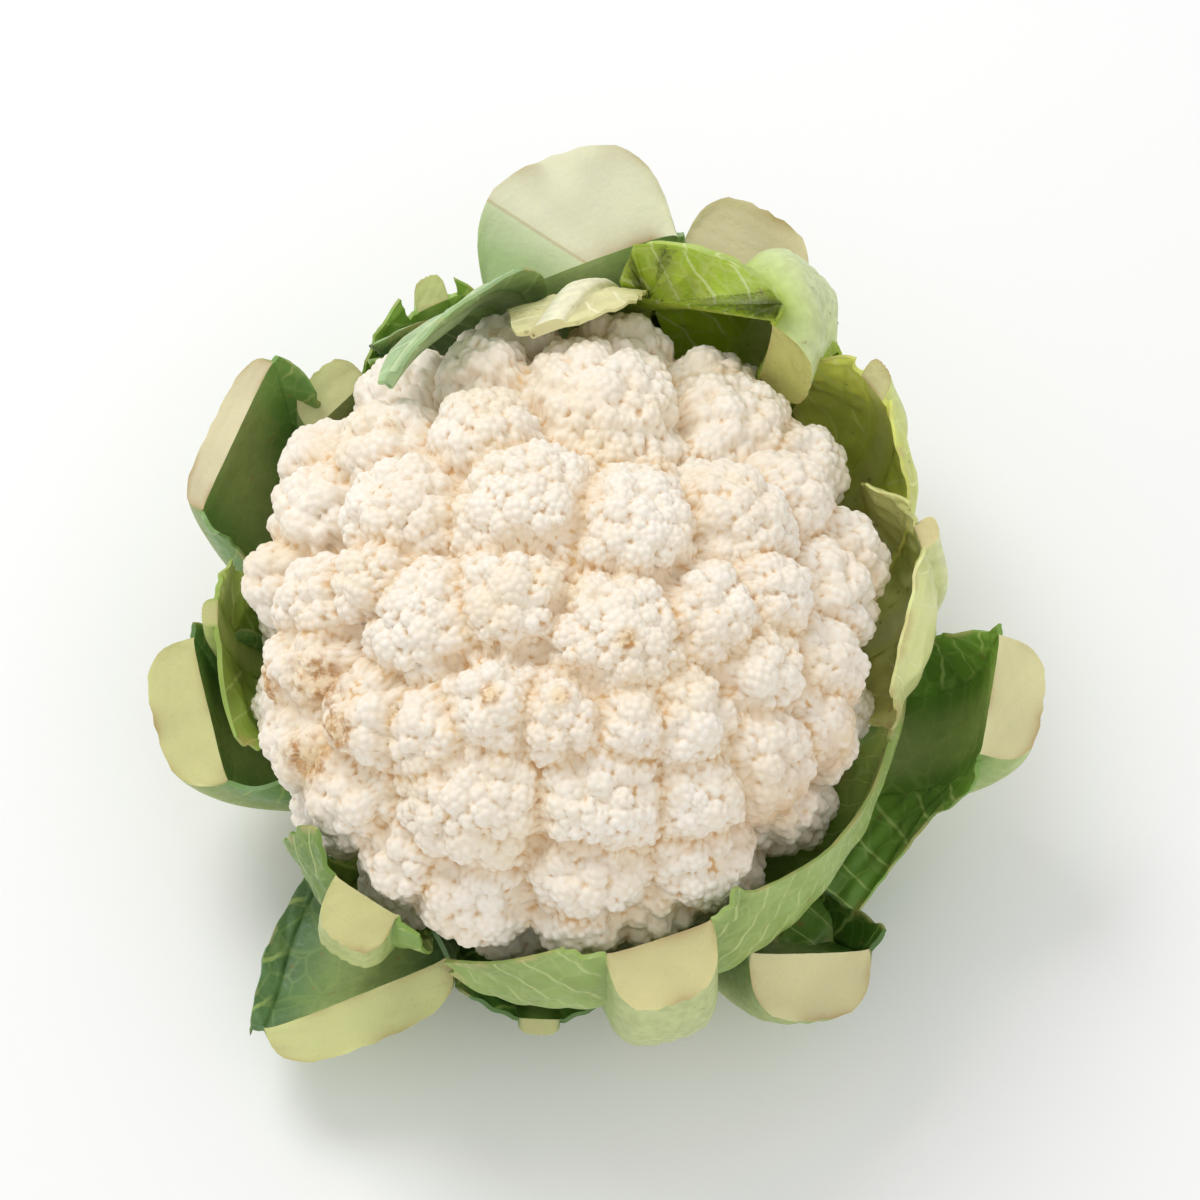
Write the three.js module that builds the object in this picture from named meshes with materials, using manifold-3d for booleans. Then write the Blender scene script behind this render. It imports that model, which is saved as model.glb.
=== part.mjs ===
// A whole cauliflower, trimmed as shops sell it: a white curd of domed florets, the
// cut stalk it stands on, and a collar of leaves whose ribs and blades are cut short.
// Millimetres, +Z up. The origin is the middle of the stalk's flat cut end, which
// stands on the table, and -Y is the side the head is looked at from.
import * as THREE from "three";
import { ConvexHull } from "three/addons/math/ConvexHull.js";
import { mergeVertices } from "three/addons/utils/BufferGeometryUtils.js";
import Module from "manifold-3d";

const wasm = await Module();
wasm.setup();

// Driving dimensions.
const CURD = { height: 68, across: 80, deep: 84, rise: 63, drop: 34 }; // widest level, half axes
const HEART = { share: 0.82, drop: 38, level: 40, facets: 220 }; // the solid middle and its flat foot
const DOME = { swell: 1.1, sunk: 0.62 }; // florets' radii over those in the table; middles under their tops
const FLORET_SINK = 0.94; // how far under the curd's form a hidden floret's middle lies, in its own radii
const BUD = { spacing: 12.5, closest: 8.4, relief: 0.34, shoulder: 0.6, shoulderDrop: 0.28, fewest: 14 };
const RIM = { count: 16, level: -12, radius: 15, from: 11, to: 371 }; // florets round the lower edge
const BACK = { count: 7, level: 14, radius: 16, from: 10, to: 170 }; // and on the side away from the face
const STALK = { radius: 23, bevel: 2, neck: 20, flare: 30, collar: 46, lip: 3, ribs: 10, ribDepth: 0.12 };
const BLADE = 1.2; // thickness of the leaf blades
const GAP = 0.35; // clearance between separate pieces
const FACE_TILT = 62; // degrees above the horizon from which the florets are laid out
const MIDDLE = new THREE.Vector3(0, 0, CURD.height);
const AIM = 112; // height of the point on the axis that the inner sides of most leaves face
const LEAF_STEPS = { along: 7, rib: 4, wing: 20 }; // stations, points across the rib, wing step in mm
const PAST = 4; // how far a rib runs on past its cut, beyond its thickness there, for the knife to take off
const LAYER = { first: 2.2, step: 2.2 }; // how far leaves of the first and next layers lie off the florets
const FRINGE = 0.6; // a wing's least reach
const STAND = 10; // the reach from which a wing leaves its rib at its full angle
const WAVE = { height: 1.6, turn: 2.3 }; // of the blades' edges
const HOLLOW = 0.07; // of a rib's inner side, in its half widths
const BELLY = 3; // how square the outer side of a rib is: 2 is an ellipse
const KNIFE = { size: 400, spare: 3 };

// Florets as seen from FACE_TILT above the front: millimetres across, millimetres up
// from the curd's middle, and the floret's radius.
const FLORETS = [
  [9, 62, 21], [48, 58, 20], [57, 36, 13], [-20, 67, 12], [-9, 75, 9],
  [-44, 49, 14], [-20, 51, 14], [-39, 33, 16], [-9, 33, 19], [-62, 33, 15],
  [-60, 9, 13], [-46, 15, 11], [-71, 16, 11], [-33, 5, 16], [-12, 11, 15],
  [18, 28, 17], [43, 29, 17], [14, 1, 19], [36, 7, 14], [50, 12, 12],
  [67, 12, 16], [64, -6, 14], [48, -6, 12], [-16, -14, 14], [0, -17, 12],
  [17, -18, 10], [30, -18, 13], [49, -28, 16], [10, -37, 17], [33, -36, 13],
  [-62, -6, 14], [-46, -18, 13], [-62, -24, 15], [-51, -37, 15], [-21, -37, 20],
  [-31, -22, 12], [8, -55, 16], [32, -53, 16], [-22, -61, 17], [6, -66, 13],
  [62, -19, 12], [-38, -53, 12], [23, -64, 12],
];
// Two florets that were bruised and shaved in the field, sunk below their neighbours by the fourth number.
const SHAVED = [[54, -42, 11, 5], [69, -27, 11, 4]];

// Leaves. path: points on the rib as [degrees round the stalk, radius, height], from
// inside the stalk to the knife cut; width and thick: the rib's, at its foot, middle and
// cut; cut: the direction the cut face looks in, [degrees round, degrees up]; flaps: the
// knife spared the blade beside the rib. A wing is the blade on one side (cw as seen from
// above, or ccw): its reach from the rib at shares of the length, and the angles at which
// it leaves the rib and ends. twist: how far the rib's end has turned about its own line.
const LEAVES = [
  {
    name: "leaf_back_stump", layer: 2, flaps: true, twist: 22,
    path: [[88, 14, 24], [88, 50, 26], [88, 81, 42], [87, 93, 64], [87, 95, 85]],
    width: [30, 42, 49], thick: [14, 20, 24], cut: [-82, 62],
    ccw: { reach: [[0.28, 2], [0.43, 14], [0.57, 34], [0.71, 50], [0.86, 32], [1, 3]], angle: [10, 100] },
    cw: { reach: [[0.4, 2], [0.7, 16], [0.86, 12], [1, 2]], angle: [20, 60] },
  },
  {
    name: "leaf_front_wrapping", layer: 0, flaps: false, aim: 62,
    path: [[-74, 14, 24], [-74, 46, 24], [-74, 76, 34], [-75, 87, 56], [-75, 86, 82]],
    width: [22, 26, 25], thick: [11, 12, 12], cut: [-90, 58],
    ccw: { reach: [[0.28, 4], [0.43, 26], [0.57, 66], [0.71, 94], [0.86, 74], [1, 14]], angle: [12, 70] },
    cw: { reach: [[0.35, 4], [0.71, 40], [0.86, 38], [1, 10]], angle: [10, 45] },
  },
  {
    name: "leaf_right_stump", layer: 2, flaps: false,
    path: [[-5, 14, 19], [-5, 50, 18], [-6, 86, 28], [-7, 100, 46], [-7, 103, 64]],
    width: [24, 26, 26], thick: [11, 13, 13], cut: [-62, 58],
    ccw: { reach: [[0.4, 3], [0.7, 20], [0.9, 14], [1, 4]], angle: [40, 95] },
    cw: { reach: [[0.3, 6], [0.42, 48], [0.52, 56], [0.62, 30], [0.76, 10], [1, 3]], angle: [15, 5] },
  },
  {
    name: "leaf_lower_right_stump", layer: 2, flaps: false, twist: -34,
    path: [[-50, 14, 21], [-50, 46, 20], [-51, 76, 26], [-51, 89, 37], [-51, 93, 48]],
    width: [24, 28, 30], thick: [12, 15, 15], cut: [-62, 55],
    ccw: { reach: [[0.45, 3], [0.75, 12], [1, 6]], angle: [60, 110] },
    cw: { reach: [[0.4, 4], [0.65, 28], [0.85, 32], [1, 24]], angle: [55, 85] },
  },
  {
    name: "leaf_lower_left_stump", layer: 2, flaps: true, twist: 48,
    path: [[-150, 14, 22], [-141, 42, 19], [-131, 68, 20], [-125, 84, 26], [-123, 91, 33]],
    width: [24, 38, 48], thick: [11, 12, 12], cut: [-105, 60],
    ccw: { reach: [[0.4, 3], [0.7, 20], [1, 30]], angle: [90, 140] },
    cw: { reach: [[0.4, 2], [0.8, 6], [1, 4]], angle: [60, 90] },
  },
  {
    name: "leaf_left_stump", layer: 1, flaps: false,
    path: [[-171, 14, 23], [-171, 46, 22], [-172, 74, 31], [-172, 83, 42], [-172, 86, 54]],
    width: [20, 28, 31], thick: [9, 12, 14], cut: [-105, 55],
    ccw: { reach: [[0.4, 4], [0.65, 20], [0.85, 16], [1, 6]], angle: [50, 120] },
    cw: { reach: [[0.4, 3], [0.65, 20], [0.9, 18], [1, 8]], angle: [50, 100] },
  },
  {
    name: "leaf_upper_left_stump", layer: 2, flaps: false,
    path: [[147, 14, 20], [147, 50, 20], [147, 80, 36], [147, 92, 56], [147, 95, 76]],
    width: [26, 34, 36], thick: [10, 10, 8], cut: [-150, 58],
    ccw: { reach: [[0.5, 3], [0.75, 12], [1, 6]], angle: [60, 110] },
    cw: { reach: [[0.4, 3], [0.6, 16], [0.85, 16], [1, 8]], angle: [55, 100] },
  },
  {
    name: "leaf_upper_left_inner", layer: 0, flaps: true,
    path: [[131, 14, 32], [131, 48, 31], [131, 78, 42], [131, 86, 56], [131, 85, 70]],
    width: [14, 18, 18], thick: [6, 8, 9], cut: [-90, 60],
    ccw: { reach: [[0.5, 2], [0.8, 6], [1, 3]], angle: [60, 90] },
    cw: { reach: [[0.4, 2], [0.7, 18], [0.9, 24], [1, 22]], angle: [40, 80] },
  },
  {
    name: "leaf_upper_left_torn", layer: 1, flaps: true,
    path: [[113, 14, 18], [113, 50, 19], [112, 82, 36], [111, 93, 56], [110, 96, 76]],
    width: [12, 11, 8], thick: [6, 6, 5], cut: [-95, 60],
    ccw: { reach: [[0.4, 3], [0.7, 18], [0.9, 22], [1, 16]], angle: [10, 50] },
    cw: { reach: [[0.4, 3], [0.7, 14], [0.9, 16], [1, 10]], angle: [10, 40] },
  },
  {
    name: "leaf_back_pale", layer: 0, flaps: false,
    path: [
      [83, 14, 36], [83, 48, 36], [83, 80, 50], [83, 88, 66], [84, 87, 84], [87, 74, 105], [93, 56, 118],
    ],
    width: [14, 12, 8], thick: [5, 4, 2], cut: [-90, 30],
    ccw: { reach: [[0.5, 3], [0.75, 7], [0.9, 13], [1, 6]], angle: [10, 20] },
    cw: { reach: [[0.5, 3], [0.75, 9], [0.9, 13], [1, 5]], angle: [10, 20] },
  },
  {
    name: "leaf_back_flap", layer: 1, flaps: false,
    path: [
      [98, 14, 30], [98, 48, 30], [98, 80, 44], [98, 88, 64], [99, 87, 84], [104, 79, 100], [112, 69, 109],
      [123, 62, 114], [133, 57, 118],
    ],
    width: [10, 8, 5], thick: [4, 3, 1.5], cut: [-116, 20],
    ccw: { reach: [[0.45, 2], [0.62, 6], [0.75, 9], [0.9, 10], [1, 3]], angle: [5, 15] },
    cw: { reach: [[0.45, 2], [0.62, 6], [0.75, 12], [0.9, 12], [1, 3]], angle: [5, 15] },
  },
  {
    name: "leaf_upper_right_bent", layer: 1, flaps: true,
    path: [
      [56, 14, 32], [56, 48, 32], [56, 82, 48], [56, 95, 70], [57, 97, 88], [54, 88, 99], [51, 77, 101],
    ],
    width: [20, 26, 26], thick: [9, 12, 12], cut: [-129, 5],
    ccw: { reach: [[0.4, 3], [0.6, 16], [0.72, 34], [0.84, 34], [0.93, 16], [1, 4]], angle: [15, 60] },
    cw: { reach: [[0.4, 2], [0.7, 8], [1, 1]], angle: [20, 60] },
  },
  {
    name: "leaf_upper_right_stump", layer: 2, flaps: true,
    path: [[68, 14, 18], [68, 54, 20], [68, 88, 40], [67, 104, 62], [66, 107, 78]],
    width: [22, 28, 32], thick: [10, 12, 12], cut: [-100, 55],
    ccw: { reach: [[0.5, 2], [0.8, 6], [1, 1]], angle: [20, 60] },
    cw: { reach: [[0.45, 3], [0.7, 20], [0.9, 16], [1, 12]], angle: [0, 10] },
  },
  {
    name: "leaf_right_folded", layer: 1, flaps: true,
    path: [[33, 14, 29], [33, 50, 31], [33, 84, 50], [34, 95, 74], [36, 92, 96]],
    width: [13, 11, 7], thick: [6, 6, 4], cut: [-120, 40],
    ccw: { reach: [[0.4, 3], [0.65, 18], [0.85, 28], [1, 14]], angle: [8, 50] },
    cw: { reach: [[0.4, 3], [0.65, 24], [0.85, 30], [1, 12]], angle: [8, 55] },
  },
  {
    name: "leaf_right_inner", layer: 0, flaps: true,
    path: [[8, 14, 34], [8, 48, 35], [9, 80, 48], [10, 89, 66], [12, 87, 86]],
    width: [13, 11, 7], thick: [5, 5, 4], cut: [-160, 50],
    ccw: { reach: [[0.4, 3], [0.65, 20], [0.85, 28], [1, 18]], angle: [8, 60] },
    cw: { reach: [[0.4, 3], [0.65, 34], [0.85, 42], [1, 20]], angle: [8, 60] },
  },
  {
    name: "leaf_left_inner", layer: 0, flaps: false,
    path: [[176, 14, 36], [176, 48, 36], [176, 76, 46], [177, 82, 62], [177, 83, 74]],
    width: [11, 10, 6], thick: [5, 5, 3], cut: [-120, 60],
    ccw: { reach: [[0.4, 3], [0.75, 28], [1, 20]], angle: [8, 50] },
    cw: { reach: [[0.4, 3], [0.75, 16], [1, 12]], angle: [8, 40] },
  },
  {
    name: "leaf_lower_left_inner", layer: 0, flaps: false,
    path: [[-128, 14, 33], [-128, 44, 33], [-127, 74, 42], [-124, 84, 58], [-122, 84, 78]],
    width: [14, 18, 17], thick: [6, 8, 9], cut: [-100, 50],
    ccw: { reach: [[0.5, 3], [0.8, 12], [1, 6]], angle: [20, 60] },
    cw: { reach: [[0.5, 3], [0.8, 20], [1, 16]], angle: [20, 60] },
  },
  {
    name: "leaf_front_lowest", layer: 2, flaps: false,
    path: [[-96, 14, 14], [-96, 46, 13], [-95, 66, 17], [-94, 81, 26]],
    width: [16, 14, 10], thick: [6, 6, 4], cut: [-90, 30],
    ccw: { reach: [[0.4, 3], [0.7, 22], [1, 16]], angle: [25, 35] },
    cw: { reach: [[0.4, 3], [0.7, 22], [1, 18]], angle: [25, 35] },
  },
];

// Colours of the kinds of surface.
const MATERIALS = {
  curd: new THREE.MeshStandardMaterial({ color: 0xf3e9d6, roughness: 0.7, metalness: 0 }),
  stalk: new THREE.MeshStandardMaterial({ color: 0xd5dca6, roughness: 0.55, metalness: 0 }),
  leaf: new THREE.MeshStandardMaterial({ color: 0x8fa653, roughness: 0.5, metalness: 0 }),
};

const radians = THREE.MathUtils.degToRad;

// A point given by its angle round the stalk, its radius and its height.
function around(degrees, radius, height) {
  const angle = radians(degrees);
  return new THREE.Vector3(radius * Math.cos(angle), radius * Math.sin(angle), height);
}

// A direction given by its angle round the stalk and its angle above the horizon.
function heading(degrees, up) {
  return around(degrees, Math.cos(radians(up)), Math.sin(radians(up)));
}

// A wing's reach at t from its [t, reach] points.
function reachAt(keys, t) {
  if (t < keys[0][0]) return FRINGE;
  const next = keys.findIndex(([at]) => at > t);
  if (next < 0) return keys[keys.length - 1][1];
  const [t0, v0] = keys[next - 1];
  const [t1, v1] = keys[next];
  return THREE.MathUtils.lerp(v0, v1, (t - t0) / (t1 - t0));
}

// The value at t of evenly spaced values.
function between([foot, middle, end], t) {
  return t < 0.5
    ? THREE.MathUtils.lerp(foot, middle, 2 * t)
    : THREE.MathUtils.lerp(middle, end, Math.min(1, 2 * t - 1));
}

// A closed skin as a solid for joining and cutting.
function solidOf(geometry) {
  const bare = geometry.clone();
  bare.deleteAttribute("normal");
  bare.deleteAttribute("uv");
  const merged = mergeVertices(bare, 1e-4);
  return new wasm.Manifold(new wasm.Mesh({
    numProp: 3,
    vertProperties: new Float32Array(merged.attributes.position.array),
    triVerts: new Uint32Array(merged.index.array),
  }));
}

// The largest outer body of a solid, without loose scraps or sealed hollows.
function mainBody(solid) {
  return solid.decompose().reduce((best, body) => (body.volume() > best.volume() ? body : best));
}

function meshOf(name, solid, material) {
  const { vertProperties, triVerts, numProp } = solid.getMesh();
  const positions = new Float32Array((vertProperties.length / numProp) * 3);
  for (let i = 0; i < positions.length / 3; i++) {
    positions.set(vertProperties.subarray(i * numProp, i * numProp + 3), i * 3);
  }
  const geometry = new THREE.BufferGeometry();
  geometry.setAttribute("position", new THREE.BufferAttribute(positions, 3));
  geometry.setIndex(new THREE.BufferAttribute(triVerts, 1));
  geometry.computeVertexNormals();
  const mesh = new THREE.Mesh(geometry, material);
  mesh.name = name;
  return mesh;
}

// Triangles given as lists of three points.
function geometryOf(triangles) {
  return new THREE.BufferGeometry().setFromPoints(triangles.flat());
}

// The direction straight out of the curd's form.
function formNormal(point) {
  const away = point.clone().sub(MIDDLE);
  const high = away.z < 0 ? CURD.drop : CURD.rise;
  return away.divide(new THREE.Vector3(CURD.across ** 2, CURD.deep ** 2, high ** 2)).normalize();
}

// The point across and up in the face view that lies inset under the curd's form.
function underCurd(across, up, inset) {
  const tilt = radians(FACE_TILT);
  const screenUp = new THREE.Vector3(0, Math.sin(tilt), Math.cos(tilt));
  const toEye = new THREE.Vector3(0, -Math.cos(tilt), Math.sin(tilt));
  const flat = new THREE.Vector3(across, 0, 0).addScaledVector(screenUp, up);
  for (const high of [CURD.rise, CURD.drop]) {
    const scale = new THREE.Vector3(1 / (CURD.across - inset), 1 / (CURD.deep - inset), 1 / (high - inset));
    const from = flat.clone().multiply(scale);
    const step = toEye.clone().multiply(scale);
    const room = from.dot(step) ** 2 - step.lengthSq() * (from.lengthSq() - 1);
    if (room < 0) return underCurd(across * 0.98, up * 0.98, inset);
    const place = flat.clone().addScaledVector(toEye, (Math.sqrt(room) - from.dot(step)) / step.lengthSq());
    if (high === CURD.drop || place.z >= 0) return place.add(MIDDLE);
  }
}

// Directions spread evenly over a ball, turned by a seed of their own.
function spread(count, seed) {
  const golden = Math.PI * (3 - Math.sqrt(5));
  const turn = new THREE.Euler(seed * 1.7, seed * 2.3, seed * 0.9);
  return Array.from({ length: count }, (_, i) => {
    const z = 1 - (2 * i + 1) / count;
    const ring = Math.sqrt(1 - z * z);
    return new THREE.Vector3(ring * Math.cos(golden * i), ring * Math.sin(golden * i), z).applyEuler(turn);
  });
}

// A ring of florets that the face view doesn't show.
function floretRing({ count, level, radius, from, to }) {
  const high = level < 0 ? CURD.drop : CURD.rise;
  const share = Math.sqrt(1 - (level / high) ** 2);
  return Array.from({ length: count }, (_, i) => {
    const angle = radians(THREE.MathUtils.lerp(from, to, i / count));
    const x = Math.cos(angle) * (CURD.across * share - radius * FLORET_SINK);
    const y = Math.sin(angle) * (CURD.deep * share - radius * FLORET_SINK);
    return { centre: new THREE.Vector3(x, y, CURD.height + level), radius };
  });
}

// Every floret's centre and radius.
function floretBalls() {
  const seen = [...FLORETS, ...SHAVED].map(([across, up, width, lowered = 0]) => {
    const radius = width * DOME.swell;
    const place = underCurd(across, up, radius * (1 - DOME.sunk) + lowered);
    return { centre: place.addScaledVector(formNormal(place), -radius * DOME.sunk), radius };
  });
  return [...seen, ...floretRing(RIM), ...floretRing(BACK)];
}

// A body of revolution about the upright axis from [radius, height] points.
function turned(profile, segments) {
  const points = profile.map(([radius, height]) => new THREE.Vector2(radius, height));
  return new THREE.LatheGeometry(points, segments).rotateX(Math.PI / 2);
}

// How far the curd's solid heart reaches from its middle in a direction.
function heartReach(direction) {
  const high = direction.z < 0 ? HEART.drop : CURD.rise * HEART.share;
  const flat = Math.hypot(direction.x / CURD.across, direction.y / CURD.deep) / HEART.share;
  return 1 / Math.hypot(flat, direction.z / high);
}

// How far the curd reaches in a direction: to the outermost floret there, or its heart.
function curdReach(direction, balls) {
  let reach = heartReach(direction);
  for (const { centre, radius } of balls) {
    const nearest = direction.dot(centre) - direction.z * CURD.height;
    const apart = centre.distanceToSquared(MIDDLE) - nearest * nearest;
    if (apart < radius * radius) reach = Math.max(reach, nearest + Math.sqrt(radius * radius - apart));
  }
  return reach;
}

// The directions from the curd's middle in which its buds peak: an even scatter over
// each floret, where that floret is the outermost, and over the heart between them.
function budDirections(balls) {
  const onFlorets = balls.flatMap(({ centre, radius }, seed) => {
    const count = Math.max(BUD.fewest, Math.round((4 * Math.PI * radius ** 2) / (0.87 * BUD.spacing ** 2)));
    return spread(count, seed + 1).map((step) => centre.clone().addScaledVector(step, radius).sub(MIDDLE));
  });
  const onHeart = spread(HEART.facets, 0).map((step) => step.multiplyScalar(heartReach(step)));
  const kept = [];
  for (const place of [...onFlorets, ...onHeart]) {
    const direction = place.clone().normalize();
    const hidden = curdReach(direction, balls) > place.length() + BUD.relief;
    const crowded = kept.some((other) => other.place.distanceTo(place) < BUD.closest);
    if (!hidden && !crowded) kept.push({ place, direction });
  }
  return kept.map(({ direction }) => direction);
}

// The curd: one skin of rounded buds, each a peak, a shoulder ring and the grooves that
// it shares with its neighbours, cut off flat where the stalk carries it.
function curdSolid(balls, grow) {
  const hull = new ConvexHull().setFromPoints(budDirections(balls));
  const place = (direction, drop) =>
    direction.clone().multiplyScalar(curdReach(direction, balls) + grow - drop).add(MIDDLE);
  const depth = (peak, groove) => BUD.relief * peak.distanceTo(groove) * curdReach(groove, balls);
  const shoulder = (peak, groove) =>
    place(peak.clone().lerp(groove, BUD.shoulder).normalize(), depth(peak, groove) * BUD.shoulderDrop);
  const triangles = [];
  for (const face of hull.faces) {
    for (let i = 0; i < 3; i++) {
      const edge = face.getEdge(i);
      const peak = edge.tail().point;
      const [left, right] = [face.normal, edge.twin.face.normal];
      const [grooveLeft, grooveRight] = [left, right].map((groove) => place(groove, depth(peak, groove)));
      const [ringLeft, ringRight] = [shoulder(peak, left), shoulder(peak, right)];
      triangles.push([place(peak, 0), ringRight, ringLeft]);
      triangles.push([ringRight, grooveRight, grooveLeft]);
      triangles.push([ringRight, grooveLeft, ringLeft]);
    }
  }
  const below = new THREE.BoxGeometry(KNIFE.size, KNIFE.size, KNIFE.size);
  below.translate(0, 0, HEART.level - grow - KNIFE.size / 2);
  return mainBody(solidOf(geometryOf(triangles)).subtract(solidOf(below)));
}

// The stalk: a cut cylinder that flares into ribbed branches under the curd.
function stalkSolid(grow) {
  const { radius, bevel, neck, flare, collar, lip, ribs, ribDepth } = STALK;
  const top = HEART.level - GAP;
  const profile = [
    [0, 0], [radius - bevel, 0], [radius, bevel], [radius, neck], [flare, (neck + top) / 2],
    [collar, top - lip], [collar, top + grow], [0, top + grow],
  ];
  const geometry = turned(profile, ribs * 4);
  const position = geometry.attributes.position;
  const point = new THREE.Vector3();
  for (let i = 0; i < position.count; i++) {
    point.fromBufferAttribute(position, i);
    const flat = Math.hypot(point.x, point.y);
    const share = THREE.MathUtils.smoothstep(point.z, neck / 2, top);
    const wave = Math.cos(ribs * Math.atan2(point.y, point.x));
    const stretch = flat > 0 ? 1 + ribDepth * share * wave + grow / flat : 1;
    position.setXY(i, point.x * stretch, point.y * stretch);
  }
  return solidOf(geometry);
}

// A point moved out to where a leaf of the given layer lies on the florets.
function clearOfFlorets(point, layer) {
  const off = LAYER.first + LAYER.step * layer;
  const away = point.clone().sub(MIDDLE);
  const high = (away.z < 0 ? CURD.drop : CURD.rise) + off;
  const share = Math.hypot(away.x / (CURD.across + off), away.y / (CURD.deep + off), away.z / high);
  const below = point.z < HEART.level - off;
  return below || share > 1 ? point.clone() : away.divideScalar(share).add(MIDDLE);
}

// Places along a leaf's rib, the line's direction, the way its inner side looks and the
// way across to its clockwise edge. The last place is past the cut.
function ribFrames(leaf) {
  const line = new THREE.CatmullRomCurve3(leaf.path.map((point) => around(...point)), false, "centripetal");
  const frames = Array.from({ length: LEAF_STEPS.along + 1 }, (_, i) => {
    const t = i / LEAF_STEPS.along;
    const tangent = line.getTangentAt(t);
    const place = clearOfFlorets(line.getPointAt(t), leaf.layer);
    const curl = new THREE.Vector3(0, 0, leaf.aim ?? AIM).sub(place).normalize();
    curl.applyAxisAngle(tangent, radians(t * (leaf.twist ?? 0)));
    const inward = curl.clone().addScaledVector(tangent, -curl.dot(tangent)).normalize();
    return { t, place, tangent, curl, inward, side: tangent.clone().cross(inward) };
  });
  const last = frames[frames.length - 1];
  const past = last.place.clone().addScaledVector(last.tangent, leaf.thick[2] + PAST);
  return [...frames, { ...last, place: past, tapered: true }];
}

// A wing's middle line at one place along the rib, from the rib's edge outwards.
function wingLine(leaf, frame, edge, wing, sign) {
  const reach = frame.tapered ? FRINGE : reachAt(wing.reach, frame.t);
  const count = Math.max(1, Math.round(Math.max(...wing.reach.map(([, mm]) => mm)) / LEAF_STEPS.wing));
  const point = frame.place.clone().addScaledVector(frame.side, sign * edge);
  return Array.from({ length: count }, (_, j) => {
    const full = radians(THREE.MathUtils.lerp(...wing.angle, (j + 0.5) / count));
    const angle = full * Math.min(1, reach / STAND);
    point.addScaledVector(frame.side, (sign * reach * Math.cos(angle)) / count);
    point.addScaledVector(frame.curl, (reach * Math.sin(angle)) / count);
    const share = Math.min(1, reach / LEAF_STEPS.wing) * ((j + 1) / count);
    const wave = WAVE.height * share * Math.sin(WAVE.turn * LEAF_STEPS.along * frame.t + j);
    return clearOfFlorets(point.clone().addScaledVector(frame.inward, wave), leaf.layer);
  });
}

// One place's ring as matching inner and outer points from the ccw edge to the cw edge.
function leafRing(leaf, frame, grow) {
  const half = between(leaf.width, frame.t) / 2;
  const deep = between(leaf.thick, frame.t);
  const ccw = wingLine(leaf, frame, half, leaf.ccw, -1).reverse();
  const cw = wingLine(leaf, frame, half, leaf.cw, 1);
  const turns = Array.from({ length: LEAF_STEPS.rib + 1 }, (_, i) => i / LEAF_STEPS.rib - 0.5);
  const rib = turns.map((turn) => Math.sin(Math.PI * turn));
  const ribLine = rib.map((s) => frame.place.clone().addScaledVector(frame.side, s * half));
  const middle = [...ccw, ...ribLine, ...cw];
  const lift = BLADE / 2 + grow;
  return middle.map((point, i) => {
    const s = rib[i - ccw.length];
    const onRib = s !== undefined;
    const ahead = middle[Math.min(i + 1, middle.length - 1)];
    const behind = middle[Math.max(i - 1, 0)];
    const across = ahead.clone().sub(behind).normalize();
    const up = onRib ? frame.inward : across.clone().cross(frame.tangent).normalize();
    const edge = (point === ahead ? grow : 0) - (point === behind ? grow : 0);
    const placed = point.clone().addScaledVector(across, edge);
    const round = onRib ? (1 - Math.abs(s) ** BELLY) ** (1 / BELLY) : 0;
    return {
      inner: placed.clone().addScaledVector(up, lift - HOLLOW * half * round),
      outer: placed.clone().addScaledVector(up, -lift - deep * round),
    };
  });
}

// A leaf's solid before its neighbours are cleared: a skin over its rings, cut by the knife.
function leafSolid(leaf, grow) {
  const rings = ribFrames(leaf).map((frame) => leafRing(leaf, frame, grow));
  const triangles = [];
  const quad = (a, b, c, d) => triangles.push([a, b, c], [a, c, d]);
  for (let i = 0; i + 1 < rings.length; i++) {
    const [low, high] = [rings[i], rings[i + 1]];
    for (let j = 0; j + 1 < low.length; j++) {
      quad(low[j].inner, low[j + 1].inner, high[j + 1].inner, high[j].inner);
      triangles.push([low[j].outer, high[j + 1].outer, low[j + 1].outer]);
      triangles.push([low[j].outer, high[j].outer, high[j + 1].outer]);
    }
    const end = low.length - 1;
    quad(low[0].outer, low[0].inner, high[0].inner, high[0].outer);
    quad(low[end].inner, low[end].outer, high[end].outer, high[end].inner);
  }
  const [first, last] = [rings[0], rings[rings.length - 1]];
  for (let j = 0; j + 1 < first.length; j++) {
    quad(first[j].outer, first[j + 1].outer, first[j + 1].inner, first[j].inner);
    quad(last[j].inner, last[j + 1].inner, last[j + 1].outer, last[j].outer);
  }
  return solidOf(geometryOf(triangles)).subtract(knife(leaf, grow));
}

// The block that the knife takes off beyond a leaf's cut face.
function knife(leaf, grow) {
  const { place, side } = ribFrames(leaf).at(-2);
  const normal = heading(...leaf.cut);
  const across = side.clone().addScaledVector(normal, -side.dot(normal)).normalize();
  const wide = leaf.flaps ? leaf.width[2] + 2 * (KNIFE.spare - grow) : KNIFE.size;
  const block = new THREE.BoxGeometry(wide, KNIFE.size, KNIFE.size);
  block.applyMatrix4(new THREE.Matrix4().makeBasis(across, normal.clone().cross(across), normal));
  const centre = place.clone().addScaledVector(normal, KNIFE.size / 2 + grow);
  return solidOf(block.translate(centre.x, centre.y, centre.z));
}

const balls = floretBalls();
const curd = curdSolid(balls, 0);
const curdRoom = curdSolid(balls, GAP);
const stalk = stalkSolid(0);

const cauliflower = new THREE.Group();
cauliflower.add(meshOf("curd", curd, MATERIALS.curd), meshOf("stalk", stalk, MATERIALS.stalk));

// Each leaf is cleared of the curd, of the stalk and of the leaves placed before it.
const taken = [curdRoom, stalkSolid(GAP)];
for (const leaf of LEAVES) {
  const body = mainBody(leafSolid(leaf, 0).subtract(wasm.Manifold.union(taken)));
  taken.push(leafSolid(leaf, GAP));
  cauliflower.add(meshOf(leaf.name, body, MATERIALS.leaf));
}

export default cauliflower;
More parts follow.
